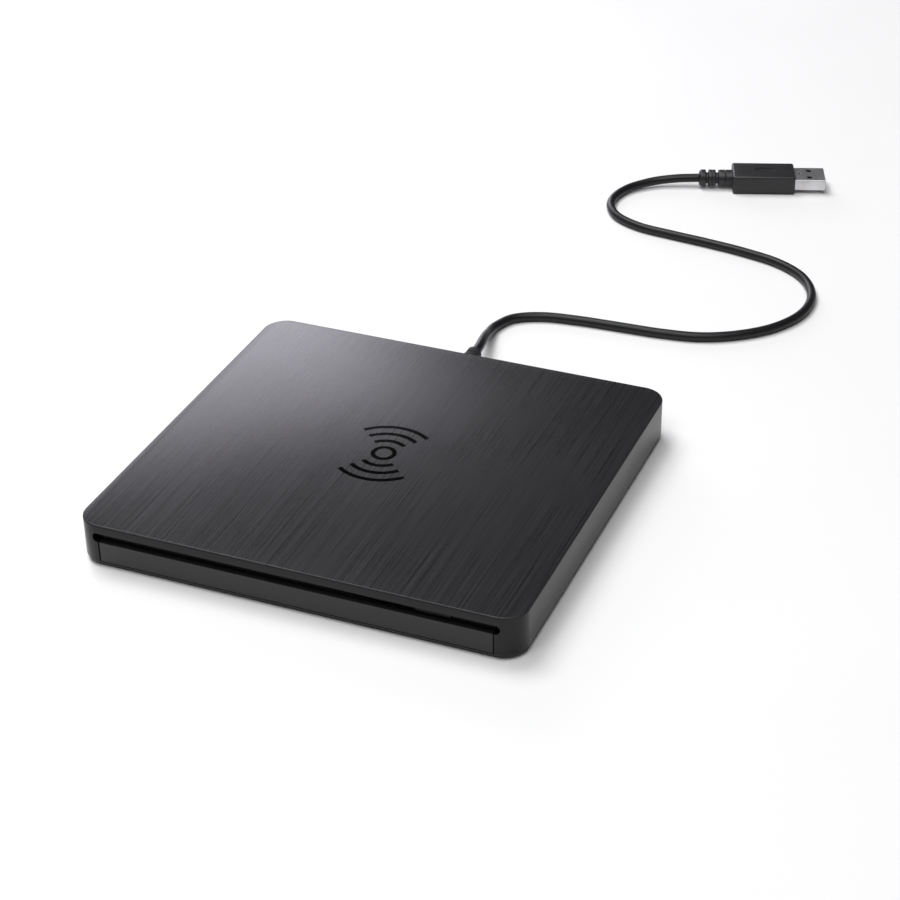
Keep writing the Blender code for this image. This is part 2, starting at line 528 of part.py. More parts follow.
def make_tray(traverse):
    tray = box("disc_tray", (-TRAY_HALF, TRAY_FRONT, TRAY_BOTTOM),
               (TRAY_HALF, TRAY_BACK, TRAY_TOP), "inner_black")
    inner = TRAY_HALF - TRAY_SKIRT
    underside = box("tray_underside", (-inner, TRAY_FRONT + TRAY_SKIRT, 0),
                    (inner, TRAY_BACK - TRAY_SKIRT, TRAY_CEILING))
    above = TRAY_TOP + BEYOND
    well = rod("disc_well", "Z", (0, SPINDLE_Y, WELL_FLOOR), above - WELL_FLOOR,
               WELL_RADIUS, sides=96)
    small_well = rod("small_disc_well", "Z", (0, SPINDLE_Y, SMALL_WELL_FLOOR),
                     above - SMALL_WELL_FLOOR, SMALL_WELL_RADIUS, sides=72)
    switch_pocket = box("switch_pocket", (SWITCH_BOARD_X[0] - 1, TRAY_FRONT - 1, 0),
                        (SWITCH_BOARD_X[1] + 1, SWITCH_BOARD_Y[1] + 2 * GAP,
                         SWITCH_TOP + GAP + 0.1))
    hub_opening = rod("hub_opening", "Z", (0, 0, 0), above, HUB_OPENING_RADIUS,
                      parent=traverse, sides=48)
    openings = [box(f"{name}_opening", (x[0], y[0], -depth), (x[1], y[1], above + depth),
                    parent=traverse)
                for name, x, y, depth in TRAY_OPENINGS]
    latch_gap = box("latch_gap", (LATCH_GAP_X[0], TRAY_BACK - 2 * BEYOND, LATCH_GAP_Z[0]),
                    (LATCH_GAP_X[1], TRAY_BACK + BEYOND, LATCH_GAP_Z[1]))
    cut(tray, underside, well, small_well, hub_opening, *openings, switch_pocket,
        latch_gap)
    for side, word in ((1, "right"), (-1, "left")):
        join(tray, box(f"tray_tongue_{word}",
                       *mirrored((inner + 1, TRAY_FRONT + 2.5, TONGUE_Z[0]),
                                 (TONGUE_OUT, TRAY_BACK, TONGUE_Z[1]), side)))
    clear = GAP + TRAY_SKIRT
    plate = box("tray_under_cover", (-TRAY_HALF + clear, TRAY_FRONT + clear,
                                     UNDER_COVER_Z[0]),
                (TRAY_HALF - clear, TRAY_BACK - clear, UNDER_COVER_Z[1]), "steel",
                upright_round=2.0, segments=3)
    cut(plate, box("under_cover_window", (UNDER_COVER_WINDOW_X[0], UNDER_COVER_WINDOW_Y[0],
                                          UNDER_COVER_Z[0] - BEYOND),
                   (UNDER_COVER_WINDOW_X[1], UNDER_COVER_WINDOW_Y[1],
                    UNDER_COVER_Z[1] + BEYOND), upright_round=3.0, segments=3))


# ---- traverse unit ----------------------------------------------------------------------
def bore(name, y, z, radius, traverse):
    """A cutter for a clearance bore that runs the length of the traverse."""
    return rod(name, "X", (BORE_START, y, z), BORE_END - BORE_START, radius + GAP,
               parent=traverse, sides=12)


def make_traverse_frame(traverse):
    bottom, top = FRAME_Z
    below, above = bottom - BEYOND, top + BEYOND
    frame = box("traverse_frame", (FRAME_X[0], FRAME_Y[0], bottom),
                (FRAME_X[1], FRAME_Y[1], top), "steel", traverse)
    join(frame, box("frame_end", (FRAME_X[1] - 7.0, -FRAME_END_HALF, bottom),
                    (FRAME_END, FRAME_END_HALF, top), parent=traverse),
         box("frame_ear", (EAR_X[0], EAR_Y[0], bottom), (EAR_X[1], EAR_Y[1], top),
             parent=traverse))
    window_half, motor_half = 11.5, 2.8
    window_cut = box("frame_window", (15.0, -window_half, below),
                     (FRAME_END - 4.0, window_half, above), parent=traverse)
    hub_hole = rod("frame_hub_hole", "Z", (0, 0, below), above - below,
                   STATOR_RADIUS + GAP, parent=traverse, sides=32)
    motor_gap = box("frame_motor_gap",
                    (FEED_MOTOR_X[0] - 0.7, SCREW_AXIS_Y - motor_half, below),
                    (FEED_MOTOR_X[1] + 0.2, SCREW_AXIS_Y + motor_half, above),
                    parent=traverse)
    cut(frame, window_cut, hub_hole, motor_gap)
    post_bottom, rise = bottom + GAP, 1.5
    for end, x in (("inner", POST_INNER_X), ("outer", POST_OUTER_X)):
        for word, side in (("a", 1), ("b", -1)):
            y = side * ROD_Y
            join(frame, box(f"rod_post_{end}_{word}", (x, y - POST_HALF, post_bottom),
                            (x + POST_LENGTH, y + POST_HALF, ROD_Z + rise),
                            parent=traverse))
    post_end, screw_post_half = FRAME_X[1] - 0.1, 1.6
    join(frame, box("leadscrew_post",
                    (FRAME_X[1] - POST_LENGTH, SCREW_AXIS_Y - screw_post_half, post_bottom),
                    (post_end, SCREW_AXIS_Y + screw_post_half, SCREW_AXIS_Z + rise),
                    parent=traverse))
    for word, side in (("a", 1), ("b", -1)):
        cut(frame, bore(f"rod_seat_{word}", side * ROD_Y, ROD_Z, ROD_RADIUS, traverse))
    seat_start = FRAME_X[1] - 7.0
    cut(frame, rod("leadscrew_seat", "X", (seat_start, SCREW_AXIS_Y, SCREW_AXIS_Z),
                   FRAME_END - seat_start, LEADSCREW_RADIUS + GAP, parent=traverse,
                   sides=12))


def make_spindle(traverse):
    bearing, sleeve, coils, plate = 1.1, 3.0, 9.6, 11.5
    bottom, floor, top = 4.7, 4.9, 7.9
    coil_low, coil_high, plate_low = 6.4, 7.4, 5.9
    stator = [(0, floor), (bearing, floor), (bearing, top), (sleeve, top),
              (sleeve, coil_high), (coils, coil_high), (coils, coil_low), (plate, coil_low),
              (plate, plate_low), (STATOR_RADIUS, plate_low), (STATOR_RADIUS, bottom),
              (0, bottom)]
    turned("spindle_stator", stator, (0, 0, 0), "board_green", traverse)
    shaft, cup_in, cup_out, seat_in = 0.8, 10.4, 11.2, TURNTABLE_RADIUS - 3.5
    seat_low, rim_low = DISC_SEAT - 0.3, DISC_SEAT - 0.6
    shaft_low, cup_low, cup_ceiling, cup_high = 5.2, 6.7, 8.2, 8.9
    rotor = [(0, HUB_TOP), (HUB_RADIUS - 0.8, HUB_TOP), (HUB_RADIUS, HUB_TOP - 0.6),
             (HUB_RADIUS, seat_low), (seat_in, seat_low), (seat_in, DISC_SEAT),
             (TURNTABLE_RADIUS, DISC_SEAT), (TURNTABLE_RADIUS, rim_low),
             (cup_out, cup_high), (cup_out, cup_low), (cup_in, cup_low),
             (cup_in, cup_ceiling), (shaft, cup_ceiling), (shaft, shaft_low),
             (0, shaft_low)]
    hub = turned("spindle_hub", rotor, (0, 0, 0), "bright_steel", traverse, steps=48)
    for number in range(1, 4):
        angle = math.radians(120 * number)
        claw_axis = Matrix.Rotation(angle, 4, "Z")
        slot = box(f"claw_slot_{number}",
                   (CLAW_X[0] - 2 * GAP, -CLAW_HALF - GAP, DISC_SEAT),
                   (CLAW_SLOT_END, CLAW_HALF + GAP, HUB_TOP + BEYOND),
                   parent=traverse, origin=(0, 0, 0))
        slot.rotation_euler = claw_axis.to_euler()
        cut(hub, slot)
        claw = box(f"clamp_claw_{number}", (CLAW_X[0], -CLAW_HALF, DISC_SEAT + GAP),
                   (CLAW_X[1], CLAW_HALF, HUB_TOP - 0.2), "claw_white", traverse,
                   origin=(0, 0, 0), upright_round=0.3, segments=2)
        claw.rotation_euler = claw_axis.to_euler()


def make_pickup(traverse):
    bottom, top = SLED_Z
    inner = LENS_X - 7.0
    sled = box("pickup_sled", (inner, -SLED_HALF, bottom), (LENS_X + 4, SLED_HALF, top),
               "inner_black", traverse, upright_round=1.0, segments=2)
    join(sled, box("sled_nose", (inner + 3, -NOSE_HALF, bottom),
                   (LENS_X + 9, NOSE_HALF, top), parent=traverse, upright_round=2.0,
                   segments=2),
         box("sled_arm", (inner + 0.5, ARM_Y[0], bottom), (inner + 4.5, ARM_Y[1], top),
             parent=traverse))
    half_x, half_y, floor = HOLDER_HALF[0] + 2 * GAP, HOLDER_HALF[1] + 2 * GAP, 6.8
    pocket = box("lens_pocket", (LENS_X - half_x, -half_y, floor),
                 (LENS_X + half_x, half_y, top + BEYOND), parent=traverse)
    bores = [bore(f"sled_bore_{word}", side * ROD_Y, ROD_Z, ROD_RADIUS, traverse)
             for word, side in (("a", 1), ("b", -1))]
    nut = bore("sled_nut_bore", SCREW_AXIS_Y, SCREW_AXIS_Z, LEADSCREW_RADIUS, traverse)
    cut(sled, pocket, *bores, nut)
    holder = box("lens_holder", (LENS_X - HOLDER_HALF[0], -HOLDER_HALF[1], HOLDER_Z[0]),
                 (LENS_X + HOLDER_HALF[0], HOLDER_HALF[1], HOLDER_Z[1]), "inner_black",
                 traverse, upright_round=0.8, segments=2)
    lens_radius, lens_low, lens_rim, lens_top = 2.0, 8.6, 8.75, 9.3
    cut(holder, rod("lens_seat", "Z", (LENS_X, 0, lens_low - GAP), BEYOND,
                    lens_radius + GAP, parent=traverse))
    lens = [(0, lens_top), (0.9, lens_top - 0.1), (1.6, lens_top - 0.32),
            (lens_radius, lens_rim), (lens_radius, lens_low), (0, lens_low)]
    turned("objective_lens", lens, (LENS_X, 0, 0), "lens_glass", traverse, steps=20)
    for word, side in (("a", 1), ("b", -1)):
        rod(f"guide_rod_{word}", "X", (ROD_X[0], side * ROD_Y, ROD_Z),
            ROD_X[1] - ROD_X[0], ROD_RADIUS, "bright_steel", traverse, sides=12)
    rod("leadscrew", "X", (LEADSCREW_X[0], SCREW_AXIS_Y, SCREW_AXIS_Z),
        LEADSCREW_X[1] - LEADSCREW_X[0], LEADSCREW_RADIUS, "steel", traverse, sides=12)
    rod("feed_motor", "X", (FEED_MOTOR_X[0], SCREW_AXIS_Y, SCREW_AXIS_Z),
        FEED_MOTOR_X[1] - FEED_MOTOR_X[0], FEED_MOTOR_RADIUS, "steel", traverse,
        end_round=0.3)
    (low, high), waist_z = BUSH_Z, sum(BUSH_Z) / 2
    waist = [(0, high), (BUSH_RADIUS, high), (BUSH_RADIUS, waist_z + 0.35),
             (BUSH_RADIUS - 0.6, waist_z), (BUSH_RADIUS, waist_z - 0.35),
             (BUSH_RADIUS, low), (0, low)]
    for number, (x, y) in enumerate(BUSH_PLACES, 1):
        turned(f"damper_bush_{number}", waist, (x, y, 0), "rubber", traverse, steps=16)


# ---- electronics and latch --------------------------------------------------------------
def make_latch():
    """A hook on the tray that catches the chassis pin, and its electromagnet."""
    x, y = LATCH_PIVOT
    low, high = LATCH_Z
    lever = rod("latch_lever", "Z", (x, y, low), high - low, LATCH_PIVOT_RADIUS, "steel",
                sides=24)
    arm_start, arm_end, arm_side, hook_start = y + 0.5, y + 9.1, x + 0.4, y + 8.5
    arm = box("latch_arm", (x - 0.9, arm_start, low), (arm_side, arm_end, high))
    hook = box("latch_hook", (x - 3.4, hook_start, low), (arm_side, arm_end, high))
    tail = box("latch_tail", (x - 4.0, y - 5.0, low), (x - 1.0, arm_start, high))
    join(lever, arm, hook, tail)
    cut(lever, rod("latch_bore", "Z", (x, y, low - BEYOND), high - low + 2 * BEYOND,
                   LATCH_BORE_RADIUS, sides=16))
    box("lock_solenoid", *SOLENOID, "gold", upright_round=0.6, segments=2)


def make_boards():
    """The tray's main board, the drive's socket and the bridge board behind the drive."""
    box("main_board", *MAIN_BOARD, "board_green")
    box("controller_chip", *CONTROLLER_CHIP, "chip_black", upright_round=0.4, segments=2)
    box("drive_connector_board", *CONNECTOR_BOARD, "board_green")
    box("drive_sata_socket", (SOCKET_X[0], SOCKET_FRONT, SOCKET_Z[0]),
        (SOCKET_X[1], DRIVE_BACK, SOCKET_Z[1]), "chip_black")
    box("bridge_board", *BRIDGE_BOARD, "board_green")
    box("bridge_sata_plug", (SOCKET_X[0], DRIVE_BACK + GAP, SOCKET_Z[0]),
        (SOCKET_X[1], SOCKET_PLUG_BACK, SOCKET_Z[1]), "chip_black")
    box("bridge_chip", *BRIDGE_CHIP, "chip_black")
    box("crystal_can", *CRYSTAL_CAN, "bright_steel", upright_round=0.6, segments=2)


# ---- cord and plug ----------------------------------------------------------------------
def make_strain_relief():
    """A ribbed sleeve, its flange inside the back wall and its neck in the wall's hole."""
    x, z = CORD_EXIT
    start = HALF_D - WALL - RELIEF_HEAD
    length = RELIEF_END - start
    wall_in = RELIEF_HEAD - GAP
    wall_out = wall_in + WALL + 2 * GAP
    collar, tip_length, edge = wall_out + 2.4, 2.0, 0.4
    neck, valley, rib, rib_taper = RELIEF_TIP + 0.1, RELIEF_TIP - 0.1, 2.75, 0.14
    rib_start = collar + 0.2
    pitch = (length - tip_length - 0.2 - rib_start) / RELIEF_RIBS
    profile = [(0, length), (RELIEF_TIP, length), (RELIEF_TIP + edge, length - edge),
               (RELIEF_TIP + edge, length - tip_length)]
    for number in range(RELIEF_RIBS, 0, -1):
        high = rib_start + pitch * number
        radius = rib + rib_taper * (RELIEF_RIBS - number)
        profile += [(valley, high - 0.2), (valley, high - 0.9), (radius, high - 1.1),
                    (radius, high - pitch + 0.2)]
    profile += [(RELIEF_RADIUS, collar), (RELIEF_RADIUS, wall_out), (neck, wall_out),
                (neck, wall_in), (RELIEF_RADIUS - 0.1, wall_in),
                (RELIEF_RADIUS - 0.1, 0.0), (0, 0.0)]
    turned("strain_relief", profile, (x, start, z), "rubber", axis="Y", steps=24)


def make_cord():
    points = smooth_route(CORD_ROUTE, CORD_POINTS)
    data = bpy.data.curves.new("usb_cord", "CURVE")
    data.dimensions = "3D"
    data.bevel_depth = CORD_DIAMETER / 2 * MM
    data.bevel_resolution = 2
    data.use_fill_caps = True
    spline = data.splines.new("POLY")
    spline.points.add(len(points) - 1)
    for target, point in zip(spline.points, points):
        target.co = (*(point * MM), 1.0)
    place("usb_cord", data, (0, 0, 0), None, "cord_black")


def make_plug():
    """The overmould with its ribbed neck, the shell, the tongue and the contacts."""
    plug = empty("plug_axis", PLUG_START, PLUG_TURN)
    radius, valley, slope = NECK_RADIUS, NECK_RADIUS - 1.1, 0.3
    neck = [(0, NECK_LENGTH + BEYOND), (radius, NECK_LENGTH + BEYOND)]
    for low, high in NECK_VALLEYS:
        neck += [(radius, high), (valley, high - slope), (valley, low + slope),
                 (radius, low)]
    neck += [(radius - 0.2, 1.2), (radius - 0.8, 0.4), (radius - 1.5, 0.0), (0, 0.0)]
    body_length, body_width, body_height = PLUG_BODY
    body_end = NECK_LENGTH + body_length
    body = box("plug_overmould", (NECK_LENGTH, -body_width / 2, -body_height / 2),
               (body_end, body_width / 2, body_height / 2), "cord_black", plug)
    edges = body.modifiers.new("Edges", "BEVEL")
    edges.width = PLUG_BODY_ROUND * MM
    edges.segments = 2
    neck_piece = turned("plug_neck", neck, (0, 0, 0), None, plug, axis="X", steps=24)
    mark_pocket = box("plug_mark_pocket", (NECK_LENGTH + PLUG_MARK_X[0], -PLUG_MARK_HALF,
                                           body_height / 2 - PLUG_MARK_DEPTH),
                      (NECK_LENGTH + PLUG_MARK_X[1], PLUG_MARK_HALF,
                       body_height / 2 + BEYOND), parent=plug,
                      upright_round=PLUG_MARK_HALF - 0.1, segments=5)
    shell_length, shell_width, shell_height = PLUG_SHELL
    shell_start = body_end + GAP
    shell_end = shell_start + shell_length - GAP
    join(body, neck_piece)
    cut(body, mark_pocket)
    shell = box("plug_shell", (shell_start, -shell_width / 2, -shell_height / 2),
                (shell_end, shell_width / 2, shell_height / 2), "bright_steel", plug)
    shell_edges = shell.modifiers.new("Edges", "BEVEL")
    shell_edges.width = PLUG_SHELL_ROUND * MM
    shell_edges.segments = 2
    wall = PLUG_SHELL_WALL
    hollow = box("plug_shell_hollow", (shell_start - BEYOND, wall - shell_width / 2,
                                       wall - shell_height / 2),
                 (shell_end + BEYOND, shell_width / 2 - wall, shell_height / 2 - wall),
                 parent=plug)
    cut(shell, hollow)
    window_x = shell_start + WINDOW_START
    for word, side in (("a", 1), ("b", -1)):
        y = side * WINDOW_Y
        cut(shell, box(f"plug_window_{word}", (window_x, y - WINDOW_HALF, 0),
                       (window_x + WINDOW_LENGTH, y + WINDOW_HALF, shell_height),
                       parent=plug))
    box("plug_tongue", (shell_start, -TONGUE_HALF, TONGUE_LOW),
        (shell_end - 0.4, TONGUE_HALF, TONGUE_HIGH), "inner_black", plug)
    contact_low = TONGUE_HIGH + GAP
    for number, (y, start) in enumerate(CONTACTS, 1):
        box(f"plug_contact_{number}", (shell_start + start, y - CONTACT_HALF, contact_low),
            (shell_end - CONTACT_END, y + CONTACT_HALF, contact_low + CONTACT_THICKNESS),
            "gold", plug)


clear_scene()
PARTS = collection("external_optical_drive")
CUTTERS = collection("cutters")

make_top_cover()
make_bottom_cover()
make_feet()
make_case_screws()
make_bezel()
make_eject_button()
make_light_pipe()
make_switch_board()
make_drive_shell()
make_rails(1, "right")
make_rails(-1, "left")
TRAVERSE = empty("traverse_axis", (0, SPINDLE_Y, 0), TRAVERSE_TURN)
make_tray(TRAVERSE)
make_traverse_frame(TRAVERSE)
make_spindle(TRAVERSE)
make_pickup(TRAVERSE)
make_latch()
make_boards()
make_strain_relief()
make_cord()
make_plug()
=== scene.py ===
"""Looks of the slim external optical drive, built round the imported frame.

The case, bezel, feet, lead, plug and mechanism are rebuilt here as finely rounded pieces that
stand for their plain CAD nodes, and the few nodes that stay as they are get finished materials.
Sizes are millimetres unless a name says otherwise, and every piece lies where the frame says.
"""
import math

import bmesh
import bpy
from mathutils import Matrix, Vector


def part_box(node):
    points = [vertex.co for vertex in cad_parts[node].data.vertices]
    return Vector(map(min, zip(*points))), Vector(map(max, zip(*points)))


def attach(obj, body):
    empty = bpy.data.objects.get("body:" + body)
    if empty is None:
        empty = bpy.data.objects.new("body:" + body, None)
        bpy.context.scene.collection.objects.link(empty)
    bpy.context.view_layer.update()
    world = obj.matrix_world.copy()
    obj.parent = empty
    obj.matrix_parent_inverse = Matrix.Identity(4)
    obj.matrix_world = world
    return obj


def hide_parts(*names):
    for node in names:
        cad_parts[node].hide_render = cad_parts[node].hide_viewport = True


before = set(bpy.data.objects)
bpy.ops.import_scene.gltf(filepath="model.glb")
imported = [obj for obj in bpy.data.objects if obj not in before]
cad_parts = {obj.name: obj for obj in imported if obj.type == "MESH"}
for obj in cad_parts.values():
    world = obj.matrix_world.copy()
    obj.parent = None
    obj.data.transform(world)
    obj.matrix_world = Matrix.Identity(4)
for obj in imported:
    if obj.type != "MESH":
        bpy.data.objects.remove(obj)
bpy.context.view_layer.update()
MM = 0.001


# ---- sizes read from the frame ---------------------------
def node_box(name):
    """A CAD node's lowest and highest corners, in millimetres."""
    low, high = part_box(name)
    return Vector(low) / MM, Vector(high) / MM


COVER_LOW, COVER_HIGH = node_box("top_cover")
BEZEL_LOW, BEZEL_HIGH = node_box("tray_bezel")
BASE_LOW, BASE_HIGH = node_box("bottom_cover")
HUB_LOW, HUB_HIGH = node_box("spindle_hub")
HALF_W, HALF_D, TOP = COVER_HIGH.x, COVER_HIGH.y, COVER_HIGH.z
FRONT = -HALF_D
SPINDLE_Y = (HUB_LOW.y + HUB_HIGH.y) / 2

# The same driving sizes as the CAD part's.
CORNER_RADIUS = 8.0
WALL = 1.5
FRONT_WALL = 3.0
LID_THICKNESS = 1.2
OPENING_HALF, OPENING_TOP = 64.0, 12.1
GROOVE_BOTTOM, GROOVE_DEPTH, GROOVE_HALF = 9.05, 2.45, 65.8
GROOVE_FACE = FRONT + GROOVE_DEPTH
SCREW_X, SCREW_Y, SCREW_WAY_RADIUS = 67.6, 60.0, 1.2
FOOT_X, FOOT_Y, FOOT_RADIUS, FOOT_HEIGHT = 57.0, 54.0, 4.5, 1.0
PLACES = ("front_left", "front_right", "rear_left", "rear_right")
BUTTON_X, BUTTON_Z, BUTTON_SIZE = 44.5, 10.3, (11.0, 1.6)
LIGHT_X, LIGHT_SIZE = 32.5, (3.0, 0.8)
PIN_HOLE_X, PIN_HOLE_RADIUS = 22.0, 0.6
TRAVERSE_TURN = math.radians(-135)

CORD_DIAMETER, CORD_HOLE_RADIUS = 3.4, 2.6
CORD_ROUTE = (                  # metres, from the strain relief to the plug's neck
    (-0.0024, 0.0828, 0.0070), (-0.0026, 0.0874, 0.0069), (-0.0034, 0.0925, 0.0064),
    (-0.0046, 0.0985, 0.0051), (-0.0057, 0.1050, 0.0032), (-0.0060, 0.1120, 0.00195),
    (-0.0022, 0.1203, 0.00175), (0.0076, 0.1254, 0.00175), (0.0210, 0.1273, 0.00175),
    (0.0360, 0.1280, 0.00175), (0.0510, 0.1287, 0.00175), (0.0650, 0.1312, 0.00175),
    (0.0775, 0.1378, 0.00175), (0.0875, 0.1476, 0.00175), (0.0936, 0.1606, 0.00175),
    (0.0936, 0.1750, 0.00175), (0.0870, 0.1880, 0.00175), (0.0755, 0.1964, 0.00175),
    (0.0610, 0.2008, 0.00175), (0.0460, 0.2034, 0.00175), (0.0310, 0.2053, 0.00175),
    (0.0166, 0.2077, 0.00175), (0.0050, 0.2142, 0.00175), (-0.0006, 0.2252, 0.00175),
    (0.0012, 0.2374, 0.0019), (0.0089, 0.2465, 0.0026), (0.0176, 0.2510, 0.0035),
    (0.02648, 0.25421, 0.0039),
)
RELIEF_RIBS = 3
PLUG_TURN = math.radians(19)
PLUG_START = Vector((26.76, 254.31, 3.9))
NECK_LENGTH, NECK_RADIUS = 13.2, 3.4
NECK_VALLEYS = ((6.4, 7.7), (2.5, 3.7))
PLUG_BODY = (24.8, 14.0, 7.6)
PLUG_SHELL = (12.0, 12.0, 4.5)
WINDOW_START, WINDOW_LENGTH, WINDOW_Y, WINDOW_HALF = 4.9, 2.0, 3.1, 1.1

# ---- camera ----------------------------------------------
CAMERA_AZIMUTH, CAMERA_ELEVATION, CAMERA_ROLL = 22.78, 31.86, -0.91    # degrees
CAMERA_TARGET, CAMERA_DISTANCE = Vector((9.43, 31.43, 0.0)), 723.4
CAMERA_LENS = 88.24


def make_camera():
    azimuth, elevation = math.radians(CAMERA_AZIMUTH), math.radians(CAMERA_ELEVATION)
    roll = math.radians(CAMERA_ROLL)
    back = Vector((math.sin(azimuth) * math.cos(elevation),
                   -math.cos(azimuth) * math.cos(elevation), math.sin(elevation)))
    right = Vector((math.cos(azimuth), math.sin(azimuth), 0))
    up = back.cross(right)
    turned_right = right * math.cos(roll) + up * math.sin(roll)
    turned_up = up * math.cos(roll) - right * math.sin(roll)
    place = (CAMERA_TARGET + back * CAMERA_DISTANCE) * MM
    data = bpy.data.cameras.new("camera")
    data.lens = CAMERA_LENS
    data.clip_start, data.clip_end = 0.05, 50
    camera = bpy.data.objects.new("camera", data)
    turn = Matrix((turned_right, turned_up, back)).transposed().to_4x4()
    camera.matrix_world = Matrix.Translation(place) @ turn
    bpy.context.scene.collection.objects.link(camera)
    bpy.context.scene.camera = camera


# ---- mesh helpers ----------------------------------------
def link(name, data):
    item = bpy.data.objects.new(name, data)
    bpy.context.scene.collection.objects.link(item)
    return item


def to_object(name, bm, turn=None):
    """A bmesh in millimetres as an object at the origin, optionally moved by a matrix."""
    if turn is not None:
        bmesh.ops.transform(bm, matrix=turn, verts=bm.verts)
    bmesh.ops.scale(bm, verts=bm.verts, vec=(MM, MM, MM))
    bmesh.ops.recalc_face_normals(bm, faces=bm.faces)
    data = bpy.data.meshes.new(name)
    bm.to_mesh(data)
    bm.free()
    return link(name, data)


def rounded_block(low, high, upright=0.0, top=0.0, bottom=0.0, segments=12, rim_segments=4):
    """A box with rounded upright edges, then a rounded top and bottom rim."""
    low, high = Vector(low), Vector(high)
    bm = bmesh.new()
    bmesh.ops.create_cube(bm, size=1.0)
    bmesh.ops.scale(bm, verts=bm.verts, vec=high - low)
    bmesh.ops.translate(bm, verts=bm.verts, vec=(low + high) / 2)
    if upright:
        edges = [edge for edge in bm.edges
                 if abs(edge.verts[0].co.z - edge.verts[1].co.z) > (high.z - low.z) / 2]
        bmesh.ops.bevel(bm, geom=edges, offset=upright, segments=segments, profile=0.5,
                        affect="EDGES")
    for size, level in ((top, high.z), (bottom, low.z)):
        if size:
            rim = [edge for edge in bm.edges
                   if all(abs(vert.co.z - level) < MM for vert in edge.verts)]
            bmesh.ops.bevel(bm, geom=rim, offset=size, segments=rim_segments, profile=0.5,
                            affect="EDGES")
    return bm


def lathe(profile, steps=64, turn=None):
    """A (radius, height) profile, outer side running down, turned about Z."""
    bm = bmesh.new()
    verts = [bm.verts.new((radius, 0, height)) for radius, height in profile]
    edges = [bm.edges.new(pair) for pair in zip(verts, verts[1:])]
    bmesh.ops.spin(bm, geom=verts + edges, cent=(0, 0, 0), axis=(0, 0, 1),
                   angle=math.tau, steps=steps, use_merge=True)
    bmesh.ops.remove_doubles(bm, verts=bm.verts, dist=1e-4)
    if turn is not None:
        bmesh.ops.transform(bm, matrix=turn, verts=bm.verts)
    return bm


def arc(centre, radius, start, end, count):
    """Points of an arc, in degrees, for a turned profile."""
    points = []
    for step in range(count + 1):
        angle = math.radians(start + (end - start) * step / count)
        points.append((centre[0] + radius * math.cos(angle),
                       centre[1] + radius * math.sin(angle)))
    return points


def cylinder(radius, low, high, centre=(0, 0), sides=48, axis=None):
    bm = bmesh.new()
    bmesh.ops.create_cone(bm, cap_ends=True, segments=sides, radius1=radius,
                          radius2=radius, depth=high - low)
    bmesh.ops.translate(bm, verts=bm.verts, vec=(0, 0, (low + high) / 2))
    if axis is not None:
        bmesh.ops.rotate(bm, verts=bm.verts, matrix=axis)
    bmesh.ops.translate(bm, verts=bm.verts, vec=(*centre, 0) if len(centre) == 2 else centre)
    return bm


ALONG_X = Matrix.Rotation(math.radians(90), 4, "Y")
ALONG_Y = Matrix.Rotation(math.radians(-90), 4, "X")


def apply_modifiers(item):
    """The evaluated mesh becomes the object's own, and its modifiers go."""
    graph = bpy.context.evaluated_depsgraph_get()
    data = bpy.data.meshes.new_from_object(item.evaluated_get(graph))
    old = item.data
    item.modifiers.clear()
    item.data = data
    bpy.data.meshes.remove(old)


def combine(item, cutters=(), additions=()):
    """Booleans with objects that are removed afterwards."""
    for operation, others in (("DIFFERENCE", cutters), ("UNION", additions)):
        for other in others:
            change = item.modifiers.new(operation, "BOOLEAN")
            change.operation = operation
            change.solver = "EXACT"
            change.object = other
    bpy.context.view_layer.update()
    apply_modifiers(item)
    for other in (*cutters, *additions):
        bpy.data.objects.remove(other, do_unlink=True)


def soften(item, width, segments=3, angle=28):
    """Rounds every sharp edge a little and shades the piece smooth."""
    data = item.data
    data.shade_smooth()
    data.set_sharp_from_angle(angle=math.radians(angle))
    edges = item.modifiers.new("Edges", "BEVEL")
    edges.width = width * MM
    edges.segments = segments
    edges.limit_method = "ANGLE"
    edges.angle_limit = math.radians(angle)
    edges.harden_normals = True
    edges.use_clamp_overlap = True
    bpy.context.view_layer.update()
    apply_modifiers(item)


def smooth(item, angle=35):
    item.data.shade_smooth()
    item.data.set_sharp_from_angle(angle=math.radians(angle))


def finish_piece(item, look, body, replaced=()):
    """Gives a piece its material, its CAD body and the nodes it stands for."""
    item.data.materials.clear()
    item.data.materials.append(look)
    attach(item, body)
    if replaced:
        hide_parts(*replaced)
    return item


